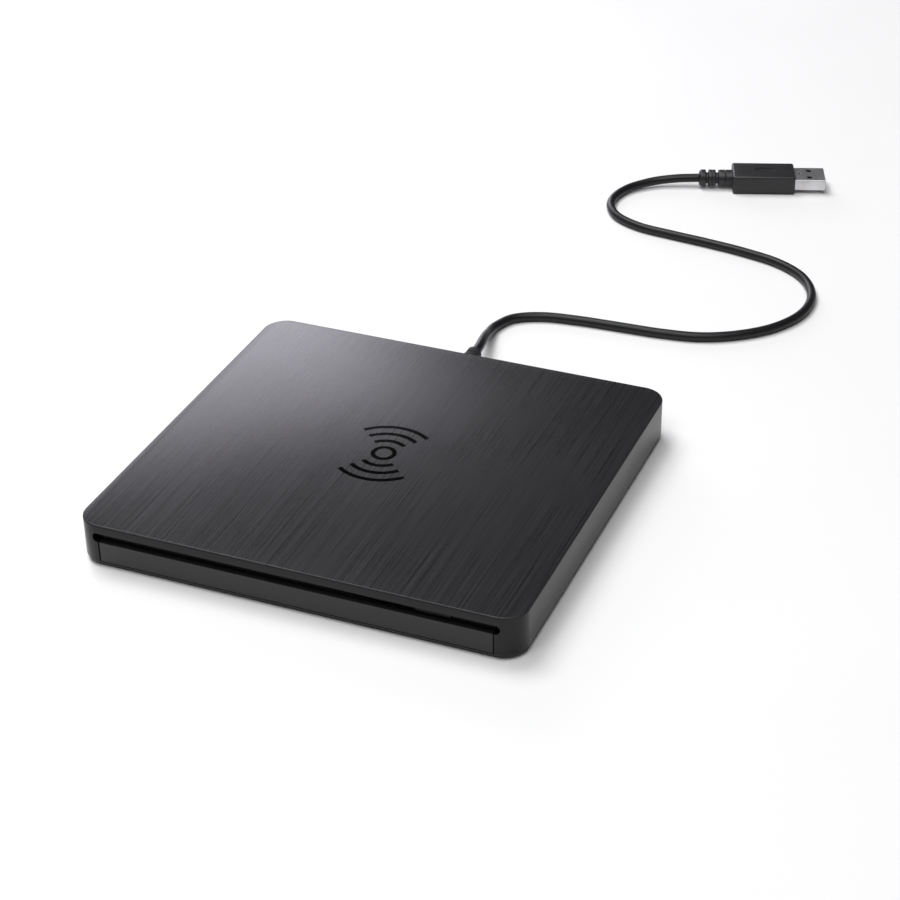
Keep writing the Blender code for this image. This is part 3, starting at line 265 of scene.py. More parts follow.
# ---- material helpers ------------------------------------
class Look:
    """A Principled material and short calls that add nodes to it."""

    def __init__(self, name, colour, roughness, metallic=0.0, **settings):
        self.material = bpy.data.materials.new(name)
        self.material.use_nodes = True
        self.tree = self.material.node_tree
        self.shader = self.tree.nodes["Principled BSDF"]
        self.set("Base Color", (*colour, 1.0))
        self.set("Roughness", roughness)
        self.set("Metallic", metallic)
        for socket, value in settings.items():
            self.set(socket.replace("_", " "), value)

    def set(self, socket, value):
        self.shader.inputs[socket].default_value = value

    def node(self, kind, inputs=None, **settings):
        made = self.tree.nodes.new(kind)
        for name, value in settings.items():
            setattr(made, name, value)
        for socket, value in (inputs or {}).items():
            self.feed(made.inputs[socket], value)
        return made

    def feed(self, socket, value):
        if isinstance(value, bpy.types.NodeSocket):
            self.tree.links.new(value, socket)
        else:
            socket.default_value = value

    def place(self, scale=(1, 1, 1), turn=0.0):
        """Object coordinates in millimetres, stretched by scale."""
        where = self.node("ShaderNodeTexCoord").outputs["Object"]
        mapping = self.node("ShaderNodeMapping", {"Vector": where})
        mapping.inputs["Scale"].default_value = [value / MM for value in scale]
        mapping.inputs["Rotation"].default_value[2] = turn
        return mapping.outputs["Vector"]

    def noise(self, scale, stretch=(1, 1, 1), detail=3.0, roughness=0.5, turn=0.0):
        made = self.node("ShaderNodeTexNoise", {"Vector": self.place(stretch, turn),
                                                "Scale": scale, "Detail": detail,
                                                "Roughness": roughness})
        return made.outputs["Fac"]

    def along(self, axis):
        """A point's own X, Y or Z, in millimetres."""
        where = self.node("ShaderNodeTexCoord").outputs["Object"]
        part = self.node("ShaderNodeSeparateXYZ", {"Vector": where}).outputs[axis]
        return self.math("DIVIDE", part, MM)

    def math(self, operation, first, second=0.0, third=0.0, clamp=False):
        made = self.node("ShaderNodeMath", operation=operation, use_clamp=clamp)
        for socket, value in zip(made.inputs, (first, second, third)):
            self.feed(socket, value)
        return made.outputs[0]

    def spread(self, value, low, high, out_low=0.0, out_high=1.0):
        made = self.node("ShaderNodeMapRange", {"Value": value, "From Min": low,
                                                "From Max": high, "To Min": out_low,
                                                "To Max": out_high})
        return made.outputs["Result"]

    def mix(self, factor, first, second):
        """A colour between two, each a triple or a socket."""
        made = self.node("ShaderNodeMix", data_type="RGBA")
        self.feed(made.inputs["Factor"], factor)
        for socket, value in ((made.inputs[6], first), (made.inputs[7], second)):
            self.feed(socket, value if isinstance(value, bpy.types.NodeSocket)
                      else (*value, 1.0))
        return made.outputs[2]

    def colour(self, value):
        self.feed(self.shader.inputs["Base Color"], value)

    def rough(self, value):
        self.feed(self.shader.inputs["Roughness"], value)

    def bump(self, height, depth):
        """Depth in millimetres for a height that runs from 0 to 1."""
        made = self.node("ShaderNodeBump", {"Height": height, "Strength": 1.0,
                                            "Distance": depth * MM})
        self.feed(self.shader.inputs["Normal"], made.outputs["Normal"])


# ---- materials -------------------------------------------
MARK_HUB = (3.4, 1.5)           # radius and line width of the lid mark's inner ring
MARK_RADII, MARK_LINE = (15.8, 11.6, 7.4), 1.6
MARK_BREAKS = (2.0, 1.4)        # breaks per turn of the mark's tracks, and their turn
MARK_SHARE = -0.1               # where the breaks begin, from -1 to 1


def brushed_black():
    """Black anodised lid, brushed from front to back and printed, over satin side walls."""
    look = Look("case_brushed_black", (0.035, 0.034, 0.037), 0.28, metallic=0.5,
                Specular_IOR_Level=0.5, Anisotropic=0.6)
    across = look.node("ShaderNodeTangent", direction_type="RADIAL", axis="Y")
    look.feed(look.shader.inputs["Tangent"], across.outputs["Tangent"])
    streaks = look.noise(1.0, stretch=(2.2, 0.010, 0), detail=2.0, roughness=0.6)
    hairs = look.noise(1.0, stretch=(5.0, 0.028, 0), detail=2.0)
    brush = look.math("ADD", look.math("MULTIPLY", streaks, 0.45),
                      look.math("MULTIPLY", hairs, 0.55))
    wall = look.spread(look.along("Z"), TOP - 0.15, TOP - 0.4)
    grain = look.noise(2.4, detail=2.0)
    lines = look.math("ADD", look.math("MULTIPLY", brush, look.math("SUBTRACT", 1.0, wall)),
                      look.math("MULTIPLY", wall, look.spread(grain, 0, 1, 0.42, 0.54)))
    tone = look.spread(lines, 0.37, 0.65)
    coat = look.mix(tone, (0.0135, 0.0130, 0.0144), (0.042, 0.0407, 0.0444))
    coat = look.mix(wall, coat, (0.012, 0.0117, 0.013))
    mark = mark_mask(look)
    look.colour(look.mix(mark, coat, (0.001, 0.001, 0.0011)))
    look.feed(look.shader.inputs["Metallic"], look.math("MULTIPLY_ADD", mark, 0.5, 0.5))
    smudge = look.noise(0.03, detail=2.0)
    brushed = look.math("ADD", look.spread(lines, 0.37, 0.65, 0.26, 0.305),
                        look.spread(smudge, 0.3, 0.7, -0.01, 0.015))
    rim = look.math("MULTIPLY", look.spread(look.along("Z"), TOP - 0.55, TOP - 0.4),
                    look.spread(look.along("Z"), TOP, TOP - 0.05))
    edged = look.math("MULTIPLY_ADD", rim, 0.3, brushed)
    look.rough(look.math("MULTIPLY_ADD", mark, -0.15, edged))
    look.bump(lines, 0.008)
    return look.material


def mark_mask(look):
    """A disc pictogram on the lid: a hub ring and broken tracks round it, 1 inside the ink."""
    x, y = look.along("X"), look.along("Y")
    reach = look.math("SQRT", look.math("ADD", look.math("MULTIPLY", x, x),
                                        look.math("MULTIPLY", y, y)))
    angle = look.math("ARCTAN2", y, x)
    ink = ring_mask(look, reach, *MARK_HUB)
    wave = look.math("SINE", look.math("MULTIPLY_ADD", angle, *MARK_BREAKS))
    part = look.math("LESS_THAN", wave, MARK_SHARE)
    for radius in MARK_RADII:
        ring = ring_mask(look, reach, radius, MARK_LINE)
        ink = look.math("ADD", ink, look.math("MULTIPLY", ring, part))
    on_top = look.math("GREATER_THAN", look.along("Z"), TOP - 0.2)
    return look.math("MULTIPLY", ink, on_top, clamp=True)


def ring_mask(look, reach, radius, width):
    off_line = look.math("ABSOLUTE", look.math("SUBTRACT", reach, radius))
    return look.math("LESS_THAN", off_line, width / 2)


def grained(name, colour, roughness, grain=3.0, depth=0.006, lift=1.35, **settings):
    """Moulded plastic: a fine grain, faint cloudiness and a little sheen variation."""
    look = Look(name, colour, roughness, **settings)
    fine = look.noise(grain, detail=3.0, roughness=0.6)
    cloud = look.noise(0.08, detail=2.0)
    both = look.math("ADD", look.math("MULTIPLY", fine, 0.5),
                     look.math("MULTIPLY", cloud, 0.5))
    pale = tuple(channel * lift for channel in colour)
    look.colour(look.mix(look.spread(both, 0.35, 0.65), colour, pale))
    look.rough(look.spread(both, 0.3, 0.7, roughness - 0.05, roughness + 0.06))
    look.bump(fine, depth)
    return look.material


def metal(name, colour, roughness, stretch=(4.0, 0.12, 4.0), depth=0.002, dull=0.8,
          turn=0.0):
    """Rolled or drawn metal: lines along one way, and slow blotches of tarnish."""
    look = Look(name, colour, roughness, metallic=1.0)
    lines = look.noise(1.0, stretch=stretch, detail=3.0, roughness=0.6, turn=turn)
    blotch = look.noise(0.15, detail=3.0)
    dark = tuple(channel * dull for channel in colour)
    look.colour(look.mix(look.spread(blotch, 0.35, 0.7), colour, dark))
    rough = look.math("ADD", look.spread(lines, 0.3, 0.7, roughness - 0.06,
                                         roughness + 0.08),
                      look.spread(blotch, 0.3, 0.7, -0.03, 0.04))
    look.rough(rough)
    look.bump(lines, depth)
    return look.material


def circuit_board(name):
    """Green solder mask over copper tracks, with a fine glass weave under it."""
    look = Look(name, (0.012, 0.075, 0.035), 0.35, Coat_Weight=0.3, Coat_Roughness=0.15)
    bricks = look.node("ShaderNodeTexBrick", {"Vector": look.place(), "Scale": 0.45,
                                              "Mortar Size": 0.06})
    tracks = bricks.outputs["Fac"]
    weave = look.noise(2.5, detail=2.0)
    ground = look.mix(look.spread(weave, 0.3, 0.7), (0.010, 0.065, 0.030),
                      (0.014, 0.085, 0.040))
    look.colour(look.mix(tracks, ground, (0.035, 0.16, 0.07)))
    look.bump(look.math("ADD", tracks, look.math("MULTIPLY", weave, 0.15)), 0.02)
    return look.material


def copper_winding(name):
    look = Look(name, (0.45, 0.17, 0.06), 0.3, metallic=1.0)
    wires = look.node("ShaderNodeTexWave", {"Vector": look.place(), "Scale": 1.2},
                      wave_type="BANDS", bands_direction="Y").outputs["Fac"]
    look.colour(look.mix(wires, (0.30, 0.10, 0.035), (0.62, 0.26, 0.10)))
    look.bump(wires, 0.05)
    return look.material


def clear_plastic(name, tint, roughness=0.12):
    look = Look(name, tint, roughness, Transmission_Weight=0.6, IOR=1.49)
    cloud = look.noise(0.8, detail=2.0)
    look.rough(look.spread(cloud, 0.3, 0.7, roughness, roughness + 0.1))
    return look.material


LOOKS = {
    "case": brushed_black(),
    "bezel": grained("bezel_satin_black", (0.011, 0.0108, 0.0122), 0.36, grain=1.3,
                     depth=0.016, Specular_IOR_Level=0.44),
    "tray": grained("tray_moulded_black", (0.016, 0.016, 0.017), 0.5, grain=2.0,
                    depth=0.012),
    "rubber": grained("rubber_black", (0.012, 0.012, 0.013), 0.72, grain=1.4, depth=0.02),
    "cord": grained("cord_jacket_black", (0.006, 0.006, 0.007), 0.42, grain=0.8,
                    depth=0.012, Specular_IOR_Level=0.35),
    "plug": grained("plug_moulded_black", (0.012, 0.0115, 0.0135), 0.42, grain=2.6,
                    depth=0.006),
    "nickel": metal("plug_shell_nickel", (0.66, 0.65, 0.67), 0.36,
                    stretch=(0.3, 5.0, 5.0), depth=0.0015, turn=-PLUG_TURN),
    "sheet": metal("sheet_steel", (0.34, 0.345, 0.35), 0.42, dull=0.82),
    "bright": metal("bright_steel", (0.68, 0.68, 0.70), 0.18, stretch=(5.0, 5.0, 5.0),
                    depth=0.001, dull=0.9),
    "screw": metal("screw_black_steel", (0.10, 0.10, 0.105), 0.35,
                   stretch=(3.0, 3.0, 3.0)),
    "gold": metal("contact_gold", (0.80, 0.56, 0.22), 0.25, stretch=(5.0, 5.0, 5.0)),
    "copper": copper_winding("copper_winding"),
    "board": circuit_board("circuit_board"),
    "chip": grained("chip_epoxy", (0.010, 0.010, 0.0105), 0.5, grain=4.0, depth=0.008),
    "white": grained("moulded_white", (0.72, 0.72, 0.70), 0.45, lift=1.05),
    "light": clear_plastic("light_pipe_smoked", (0.02, 0.023, 0.02)),
    "lens": clear_plastic("lens_coated", (0.30, 0.38, 0.72), 0.03),
}

NODE_LOOKS = {                  # CAD nodes that are shown as they are
    "light": ("light_pipe", "status_led"),
    "bright": ("latch_pin",),
    "chip": ("plug_tongue",),
    "copper": ("spindle_stator",),
    "gold": ("plug_contact_1", "plug_contact_2", "plug_contact_3", "plug_contact_4"),
}


def dress_nodes():
    """CAD nodes that stay in view get a finished material in their own slots."""
    for look, names in NODE_LOOKS.items():
        for name in names:
            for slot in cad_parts[name].material_slots:
                slot.material = LOOKS[look]


# ---- case ------------------------------------------------
def corners(x, y):
    return ((-x, -y), (x, -y), (-x, y), (x, y))


def groove_end(side):
    """The finger groove's rounded end, let into a corner of the cover."""
    low_x, high_x = sorted((side * (OPENING_HALF - 4), side * GROOVE_HALF))
    bm = rounded_block((low_x, FRONT - 2, GROOVE_BOTTOM), (high_x, GROOVE_FACE, OPENING_TOP))
    ends = [edge for edge in bm.edges
            if all(abs(vert.co.x) > GROOVE_HALF - MM for vert in edge.verts)
            and abs(edge.verts[0].co.z - edge.verts[1].co.z) < MM]
    bmesh.ops.bevel(bm, geom=ends, offset=1.4, segments=8, profile=0.5, affect="EDGES")
    return to_object("groove_end", bm)


def make_case_cover():
    bm = rounded_block((-HALF_W, FRONT, COVER_LOW.z), (HALF_W, HALF_D, TOP),
                       upright=CORNER_RADIUS, top=0.5, segments=28, rim_segments=4)
    cover = to_object("case_cover", bm)
    ceiling = TOP - LID_THICKNESS
    cavity = to_object("cavity", rounded_block(
        (-HALF_W + WALL, FRONT + FRONT_WALL, 0), (HALF_W - WALL, HALF_D - WALL, ceiling),
        upright=CORNER_RADIUS - WALL, segments=20))
    opening = to_object("opening", rounded_block(
        (-OPENING_HALF, FRONT - 2, 0), (OPENING_HALF, FRONT + FRONT_WALL + 1, OPENING_TOP)))
    combine(cover, [cavity, opening, groove_end(1), groove_end(-1)],
            [to_object("boss", cylinder(3.2, 2.8, ceiling + 0.5, place))
             for place in corners(SCREW_X, SCREW_Y)])
    exit_x, exit_z = CORD_ROUTE[0][0] / MM, CORD_ROUTE[0][2] / MM
    hole = to_object("hole", cylinder(CORD_HOLE_RADIUS, -3, 3,
                                      (exit_x, HALF_D - WALL / 2, exit_z), axis=ALONG_Y))
    bores = [to_object("bore", cylinder(SCREW_WAY_RADIUS, 2.0, 8.3, place, 24))
             for place in corners(SCREW_X, SCREW_Y)]
    combine(cover, [hole, *bores])
    soften(cover, 0.12, segments=2)
    finish_piece(cover, LOOKS["case"], "root", ["top_cover"])


def make_base():
    """The shallow bottom cover with its chamfer, screw seats and foot seats."""
    bm = rounded_block(BASE_LOW, (BASE_HIGH.x, BASE_HIGH.y, 1.7), upright=7.5, bottom=0.5,
                       segments=24, rim_segments=3)
    base = to_object("case_base", bm)
    step = to_object("step", rounded_block(
        (-HALF_W + 1.8, -63.0, 1.3), (HALF_W - 1.8, HALF_D - 1.8, BASE_HIGH.z),
        upright=6.2, segments=16))
    cutters = []
    for place in corners(SCREW_X, SCREW_Y):
        cutters += [to_object("seat", cylinder(1.8, 0, 2.1, place)),
                    to_object("way", cylinder(SCREW_WAY_RADIUS, 0, 4, place, 24))]
    cutters += [to_object("foot_seat", cylinder(4.8, 0, 1.3, place, 64))
                for place in corners(FOOT_X, FOOT_Y)]
    combine(base, additions=[step])
    combine(base, cutters)
    soften(base, 0.1, segments=2)
    finish_piece(base, LOOKS["bezel"], "root", ["bottom_cover"])


def make_feet():
    edge = 0.3
    profile = [(0, FOOT_HEIGHT), (FOOT_RADIUS, FOOT_HEIGHT), (FOOT_RADIUS, edge),
               *arc((FOOT_RADIUS - edge, edge), edge, 0, -90, 5), (1.6, 0), (1.4, 0.15),
               (0, 0.15)]
    for word, place in zip(PLACES, corners(FOOT_X, FOOT_Y)):
        foot = to_object(f"rubber_foot_{word}",
                         lathe(profile, turn=Matrix.Translation((*place, 0))))
        smooth(foot)
        finish_piece(foot, LOOKS["rubber"], "root", [f"foot_{word}"])


def make_screws():
    """Pan-head case screws with a cross recess, seen in the bottom cover's seats."""
    head, shank, top = 1.5, 0.9, 8.0
    threads = []
    for turn in range(9):
        level = 7.0 - turn * 0.5
        threads += [(shank, level), (shank - 0.2, level - 0.25)]
    profile = [(0, top), (0.5, top), *threads, (shank, 2.3), (shank, 1.8), (head, 1.8),
               *arc((head - 0.45, 1.45), 0.45, 0, -90, 5), (0, 1.0)]
    for word, place in zip(PLACES, corners(SCREW_X, SCREW_Y)):
        screw = to_object(f"screw_{word}", lathe(profile, steps=32))
        cross = [to_object("slot", rounded_block((-0.85, -0.17, 0.5), (0.85, 0.17, 1.5))),
                 to_object("slot", rounded_block((-0.17, -0.85, 0.5), (0.17, 0.85, 1.5)))]
        combine(screw, cross)
        screw.data.transform(Matrix.Translation(Vector((*place, 0)) * MM))
        smooth(screw)
        finish_piece(screw, LOOKS["screw"], "root", [f"case_screw_{word}"])


# ---- front -----------------------------------------------
def front_window(x, z, size):
    half_x, half_z = size[0] / 2 + 0.3, size[1] / 2 + 0.3
    return to_object("window", rounded_block((x - half_x, FRONT - 1, z - half_z),
                                             (x + half_x, BEZEL_HIGH.y + 1, z + half_z)))


def make_bezel():
    bezel = to_object("bezel", rounded_block(BEZEL_LOW, BEZEL_HIGH, upright=0.3,
                                             segments=4))
    groove = to_object("groove", rounded_block((-HALF_W, FRONT - 2, GROOVE_BOTTOM),
                                               (HALF_W, GROOVE_FACE, OPENING_TOP + 1)))
    hole = to_object("hole", cylinder(PIN_HOLE_RADIUS, -4, 4,
                                      (PIN_HOLE_X, GROOVE_FACE, BUTTON_Z), 24, ALONG_Y))
    combine(bezel, [groove, front_window(BUTTON_X, BUTTON_Z, BUTTON_SIZE),
                    front_window(LIGHT_X, BUTTON_Z, LIGHT_SIZE), hole])
    soften(bezel, 0.22, segments=3)
    finish_piece(bezel, LOOKS["bezel"], "tray", ["tray_bezel"])


def make_button():
    low, high = node_box("eject_button")
    back = BEZEL_HIGH.y - 0.3
    button = to_object("button", rounded_block(low, (high.x, back, high.z)))
    stem = to_object("stem", rounded_block((BUTTON_X - 1.5, GROOVE_FACE, 9.6),
                                           (BUTTON_X + 1.5, high.y, 10.0)))
    combine(button, additions=[stem])
    soften(button, 0.3, segments=4)
    finish_piece(button, LOOKS["chip"], "eject_button", ["eject_button"])


# ---- lead ------------------------------------------------
def make_strain_relief():
    """A tapered rubber sleeve with rounded ribs, its flange behind the case's back wall."""
    low, high = node_box("strain_relief")
    x, z = CORD_ROUTE[0][0] / MM, CORD_ROUTE[0][2] / MM
    length = high.y - low.y
    bore, lip = CORD_DIAMETER / 2 + 0.05, 0.45
    end = length + lip
    profile = [(bore, end - 1.5), (bore, end), (2.35, end), *arc((2.35, end - 0.3), 0.3,
                                                                90, 0, 4)]
    profile += [(2.62, length - 2.0)]
    first = 6.1
    pitch = (length - 2.2 - first) / RELIEF_RIBS
    for number in range(RELIEF_RIBS, 0, -1):
        level = first + pitch * number
        radius = 2.75 + 0.14 * (RELIEF_RIBS - number)
        profile += [(2.12, level - 0.25), (2.12, level - 0.85)]
        profile += arc((radius - 0.35, level - 1.35), 0.35, 90, 0, 4)
        profile += arc((radius - 0.35, level - pitch + 0.45), 0.35, 0, -60, 3)
    profile += [(3.2, 5.9), *arc((3.1, 5.5), 0.3, 60, 0, 3), (3.4, 3.5), (2.3, 3.5),
                (2.3, 1.4), (3.3, 1.4), (3.3, 0), (0, 0)]
    turn = Matrix.Translation((x, low.y, z)) @ ALONG_Y
    sleeve = to_object("lead_sleeve", lathe(profile, steps=48, turn=turn))
    smooth(sleeve, 40)
    return finish_piece(sleeve, LOOKS["rubber"], "root", ["strain_relief"])


def smooth_route(points, count):
    """Evenly spaced points on a Catmull-Rom curve through the route's points."""
    route = [Vector(point) for point in points]
    padded = [2 * route[0] - route[1], *route, 2 * route[-1] - route[-2]]
    fine, steps = [], 24
    for p0, p1, p2, p3 in zip(padded, padded[1:], padded[2:], padded[3:]):
        for step in range(steps):
            t = step / steps
            fine.append(0.5 * (2 * p1 + (p2 - p0) * t
                               + (2 * p0 - 5 * p1 + 4 * p2 - p3) * t * t
                               + (3 * p1 - p0 - 3 * p2 + p3) * t * t * t))
    fine.append(route[-1])
    reach = [0.0]
    for first, second in zip(fine, fine[1:]):
        reach.append(reach[-1] + (second - first).length)
    spaced, index = [], 0
    for number in range(count):
        wanted = reach[-1] * number / (count - 1)
        while index < len(reach) - 2 and reach[index + 1] < wanted:
            index += 1
        share = (wanted - reach[index]) / (reach[index + 1] - reach[index])
        spaced.append(fine[index].lerp(fine[index + 1], share))
    return spaced


def make_cord():
    data = bpy.data.curves.new("lead", "CURVE")
    data.dimensions = "3D"
    data.bevel_depth = CORD_DIAMETER / 2 * MM
    data.bevel_resolution = 6
    data.use_fill_caps = True
    points = smooth_route(CORD_ROUTE, 220)
    spline = data.splines.new("POLY")
    spline.points.add(len(points) - 1)
    for target, point in zip(spline.points, points):
        target.co = (*point, 1.0)
    spline.use_smooth = True
    cord = link("lead", data)
    finish_piece(cord, LOOKS["cord"], "root", ["usb_cord"])


def place_on_plug(item):
    """Moves a mesh from the plug's own frame, +X towards its tip, to the row frame."""
    turn = Matrix.Translation(PLUG_START) @ Matrix.Rotation(PLUG_TURN, 4, "Z")
    item.data.transform(Matrix.Scale(MM, 4) @ turn @ Matrix.Scale(1 / MM, 4))


def make_plug_body():
    """The overmould, its ribbed neck and the shallow mark on its top."""
    radius, overlap, bore = NECK_RADIUS, 0.2, CORD_DIAMETER / 2 + 0.05
    neck = [(0, NECK_LENGTH + 2), (radius, NECK_LENGTH + 2), (radius, 10.6),
            (radius - 0.2, 10.4), (radius, 10.2)]
    for low, high in NECK_VALLEYS:
        neck += arc((radius - 0.4, high + 0.3), 0.4, 0, -70, 4)
        neck += [(radius - 1.15, high - 0.25), (radius - 1.15, low + 0.25)]
        neck += arc((radius - 0.4, low - 0.3), 0.4, 70, 0, 4)
        if low > NECK_LENGTH / 3:
            neck += [(radius, 5.25), (radius - 0.2, 5.05), (radius, 4.85)]
    neck += [*arc((radius - 0.9, 0.95), 0.9, 15, -60, 6), (radius - 1.3, -overlap),
             (bore, -overlap), (bore, 1.2)]
    neck_piece = to_object("neck", lathe(neck, steps=48, turn=ALONG_X))
    length, width, height = PLUG_BODY
    start, end = NECK_LENGTH, NECK_LENGTH + length
    bm = rounded_block((start, -width / 2, -height / 2), (end, width / 2, height / 2))
    bmesh.ops.bevel(bm, geom=bm.edges[:], offset=0.8, segments=5, profile=0.5,
                    affect="EDGES")
    body = to_object("plug_body", bm)
    pocket = to_object("pocket", rounded_block((start + 9, -2.0, height / 2 - 0.25),
                                               (start + 17, 2.0, height / 2 + 1),
                                               upright=1.9, segments=10))
    combine(body, [pocket], [neck_piece])
    soften(body, 0.12, segments=2, angle=35)
    place_on_plug(body)
    return finish_piece(body, LOOKS["plug"], "root", ["plug_overmould"])


def make_plug_shell():
    """The drawn steel shell with its windows, dimples and the folded seam below."""
    length, width, height = PLUG_SHELL
    start = NECK_LENGTH + PLUG_BODY[0] - 0.4
    end = NECK_LENGTH + PLUG_BODY[0] + length
    wall = 0.35
    bm = rounded_block((start, -width / 2, -height / 2), (end, width / 2, height / 2))
    long_edges = [edge for edge in bm.edges
                  if abs(edge.verts[0].co.x - edge.verts[1].co.x) > length / 2]
    bmesh.ops.bevel(bm, geom=long_edges, offset=0.35, segments=4, profile=0.5,
                    affect="EDGES")
    shell = to_object("plug_tip", bm)
    hollow = to_object("hollow", rounded_block(
        (start - 1, wall - width / 2, wall - height / 2),
        (end + 1, width / 2 - wall, height / 2 - wall)))
    window_x = NECK_LENGTH + PLUG_BODY[0] + WINDOW_START
    cutters = [hollow]
    for side in (1, -1):
        cutters.append(to_object("window", rounded_block(
            (window_x, side * WINDOW_Y - WINDOW_HALF, 0.8),
            (window_x + WINDOW_LENGTH, side * WINDOW_Y + WINDOW_HALF, 4), upright=0.15,
            segments=2)))
    cutters.append(to_object("dimple", cylinder(0.4, 0, 3, (window_x - 2.7, 0.4), 24)))
    cutters.append(to_object("seam", rounded_block((start - 1, -0.06, -height / 2 - 1),
                                                   (end + 1, 0.06, -height / 2 + 0.2))))
    combine(shell, cutters)
    soften(shell, 0.07, segments=2)
    place_on_plug(shell)
    return finish_piece(shell, LOOKS["nickel"], "root", ["plug_shell"])


def make_lead():
    pieces = [make_strain_relief(), make_plug_body(), make_plug_shell()]
    make_cord()


# ---- mechanism -------------------------------------------
TRAVERSE = Matrix.Translation((0, SPINDLE_Y, 0)) @ Matrix.Rotation(TRAVERSE_TURN, 4, "Z")
ROD_Y, ROD_Z, ROD_RADIUS, ROD_X = 13.5, 7.3, 0.8, (10.5, 64.5)
SCREW_AXIS_Y, SCREW_AXIS_Z, LEADSCREW_RADIUS, LEADSCREW_X = -19.0, 7.4, 0.9, (10.3, 56.5)
FEED_MOTOR_RADIUS, FEED_MOTOR_X = 2.1, (-8.0, 10.0)
LENS_X, SLED_Z = 24.0, (5.9, 8.9)
TURNTABLE_RADIUS, DISC_SEAT, HUB_RADIUS, HUB_TOP = 13.4, 9.9, 7.4, 11.1
BUSH_PLACES = ((-17.0, 0.0), (40.0, 19.2), (30.0, -25.0))
REFINED = (                     # node, new piece, look, body, slot, edge rounding
    ("guide_rail_left", "rail_guide_left", "tray", "root", "inner_black", 0.15),
    ("guide_rail_right", "rail_guide_right", "tray", "root", "inner_black", 0.15),
    ("slide_rail_left", "rail_left", "bright", "left_slide_rail", "bright_steel", 0.12),
    ("slide_rail_right", "rail_right", "bright", "right_slide_rail", "bright_steel", 0.12),
    ("drive_chassis", "drive_pan", "sheet", "root", "steel", 0.12),
    ("drive_top_cover", "drive_lid", "sheet", "root", "steel", 0.12),
    ("tray_under_cover", "tray_plate", "sheet", "tray", "steel", 0.1),
    ("traverse_frame", "traverse_plate", "sheet", "tray", "steel", 0.12),
    ("latch_lever", "latch_hook", "sheet", "latch_lever", "steel", 0.1),
    ("lock_solenoid", "latch_coil", "copper", "tray", "gold", 0.2),
    ("switch_board", "button_board", "board", "tray", "board_green", 0.06),
    ("main_board", "tray_board", "board", "tray", "board_green", 0.06),
    ("drive_connector_board", "socket_board", "board", "root", "board_green", 0.06),
    ("bridge_board", "usb_board", "board", "root", "board_green", 0.06),
    ("eject_switch", "button_switch", "chip", "tray", "chip_black", 0.12),
    ("drive_sata_socket", "drive_socket", "chip", "root", "chip_black", 0.15),
    ("bridge_sata_plug", "board_plug", "chip", "root", "chip_black", 0.15),
    ("bridge_chip", "usb_chip", "chip", "root", "chip_black", 0.1),
    ("controller_chip", "tray_chip", "chip", "tray", "chip_black", 0.1),
    ("crystal_can", "crystal", "bright", "root", "bright_steel", 0.12),
)


def refine(node, name, look, body, slot, width):
    """A CAD node's shape with its facets merged and its edges rounded."""
    bm = bmesh.new()
    bm.from_mesh(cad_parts[node].data)
    bmesh.ops.remove_doubles(bm, verts=bm.verts, dist=1e-6)
    bmesh.ops.dissolve_limit(bm, angle_limit=math.radians(1), verts=bm.verts,
                             edges=bm.edges)
    data = bpy.data.meshes.new(name)
    bm.to_mesh(data)
    bm.free()
    item = link(name, data)
    soften(item, width, segments=2, angle=30)
    finish_piece(item, LOOKS[look], body, [node])


def make_tray_dish():
    """The moulded tray: two disc wells, the hub and sled openings, and its side tongues."""
    low, high = node_box("disc_tray")
    half, skirt, ceiling = 59.6, 2.0, 7.9
    dish = to_object("tray_dish", rounded_block((-half, low.y, low.z), (half, high.y, high.z)))
    above = high.z + 2
    cutters = [
        to_object("under", rounded_block((-half + skirt, low.y + skirt, 0),
                                         (half - skirt, high.y - skirt, ceiling))),
        to_object("well", cylinder(60.5, 9.3, above, (0, SPINDLE_Y), 256)),
        to_object("small_well", cylinder(40.5, 8.9, above, (0, SPINDLE_Y), 192)),
        to_object("pocket", rounded_block((28.0, low.y - 1, 0), (54.0, -59.0, 10.4))),
        to_object("latch_gap", rounded_block((-46.5, high.y - 4, 4.4),
                                             (-40.0, high.y + 1, 6.6))),
        to_object("hub_gap", cylinder(14.5, 0, above, (0, SPINDLE_Y), 96)),
    ]
    for index, (x, y) in enumerate((((-9.5, 58.0), (-22.5, 16.5)),
                                    ((50.0, 65.6), (-15.8, 15.8)),
                                    ((60.0, 67.5), (-11.0, 11.0)))):
        cutters.append(to_object("gap", rounded_block((x[0], y[0], -index),
                                                      (x[1], y[1], above + index)),
                                 TRAVERSE))
    combine(dish, cutters)
    tongues = [to_object("tongue", rounded_block(
        (min(side * 58.6, side * high.x), low.y + 2.5, 6.2),
        (max(side * 58.6, side * high.x), high.y, 7.2))) for side in (1, -1)]
    combine(dish, additions=tongues)
    soften(dish, 0.2, segments=3, angle=30)
    finish_piece(dish, LOOKS["tray"], "tray", ["disc_tray"])


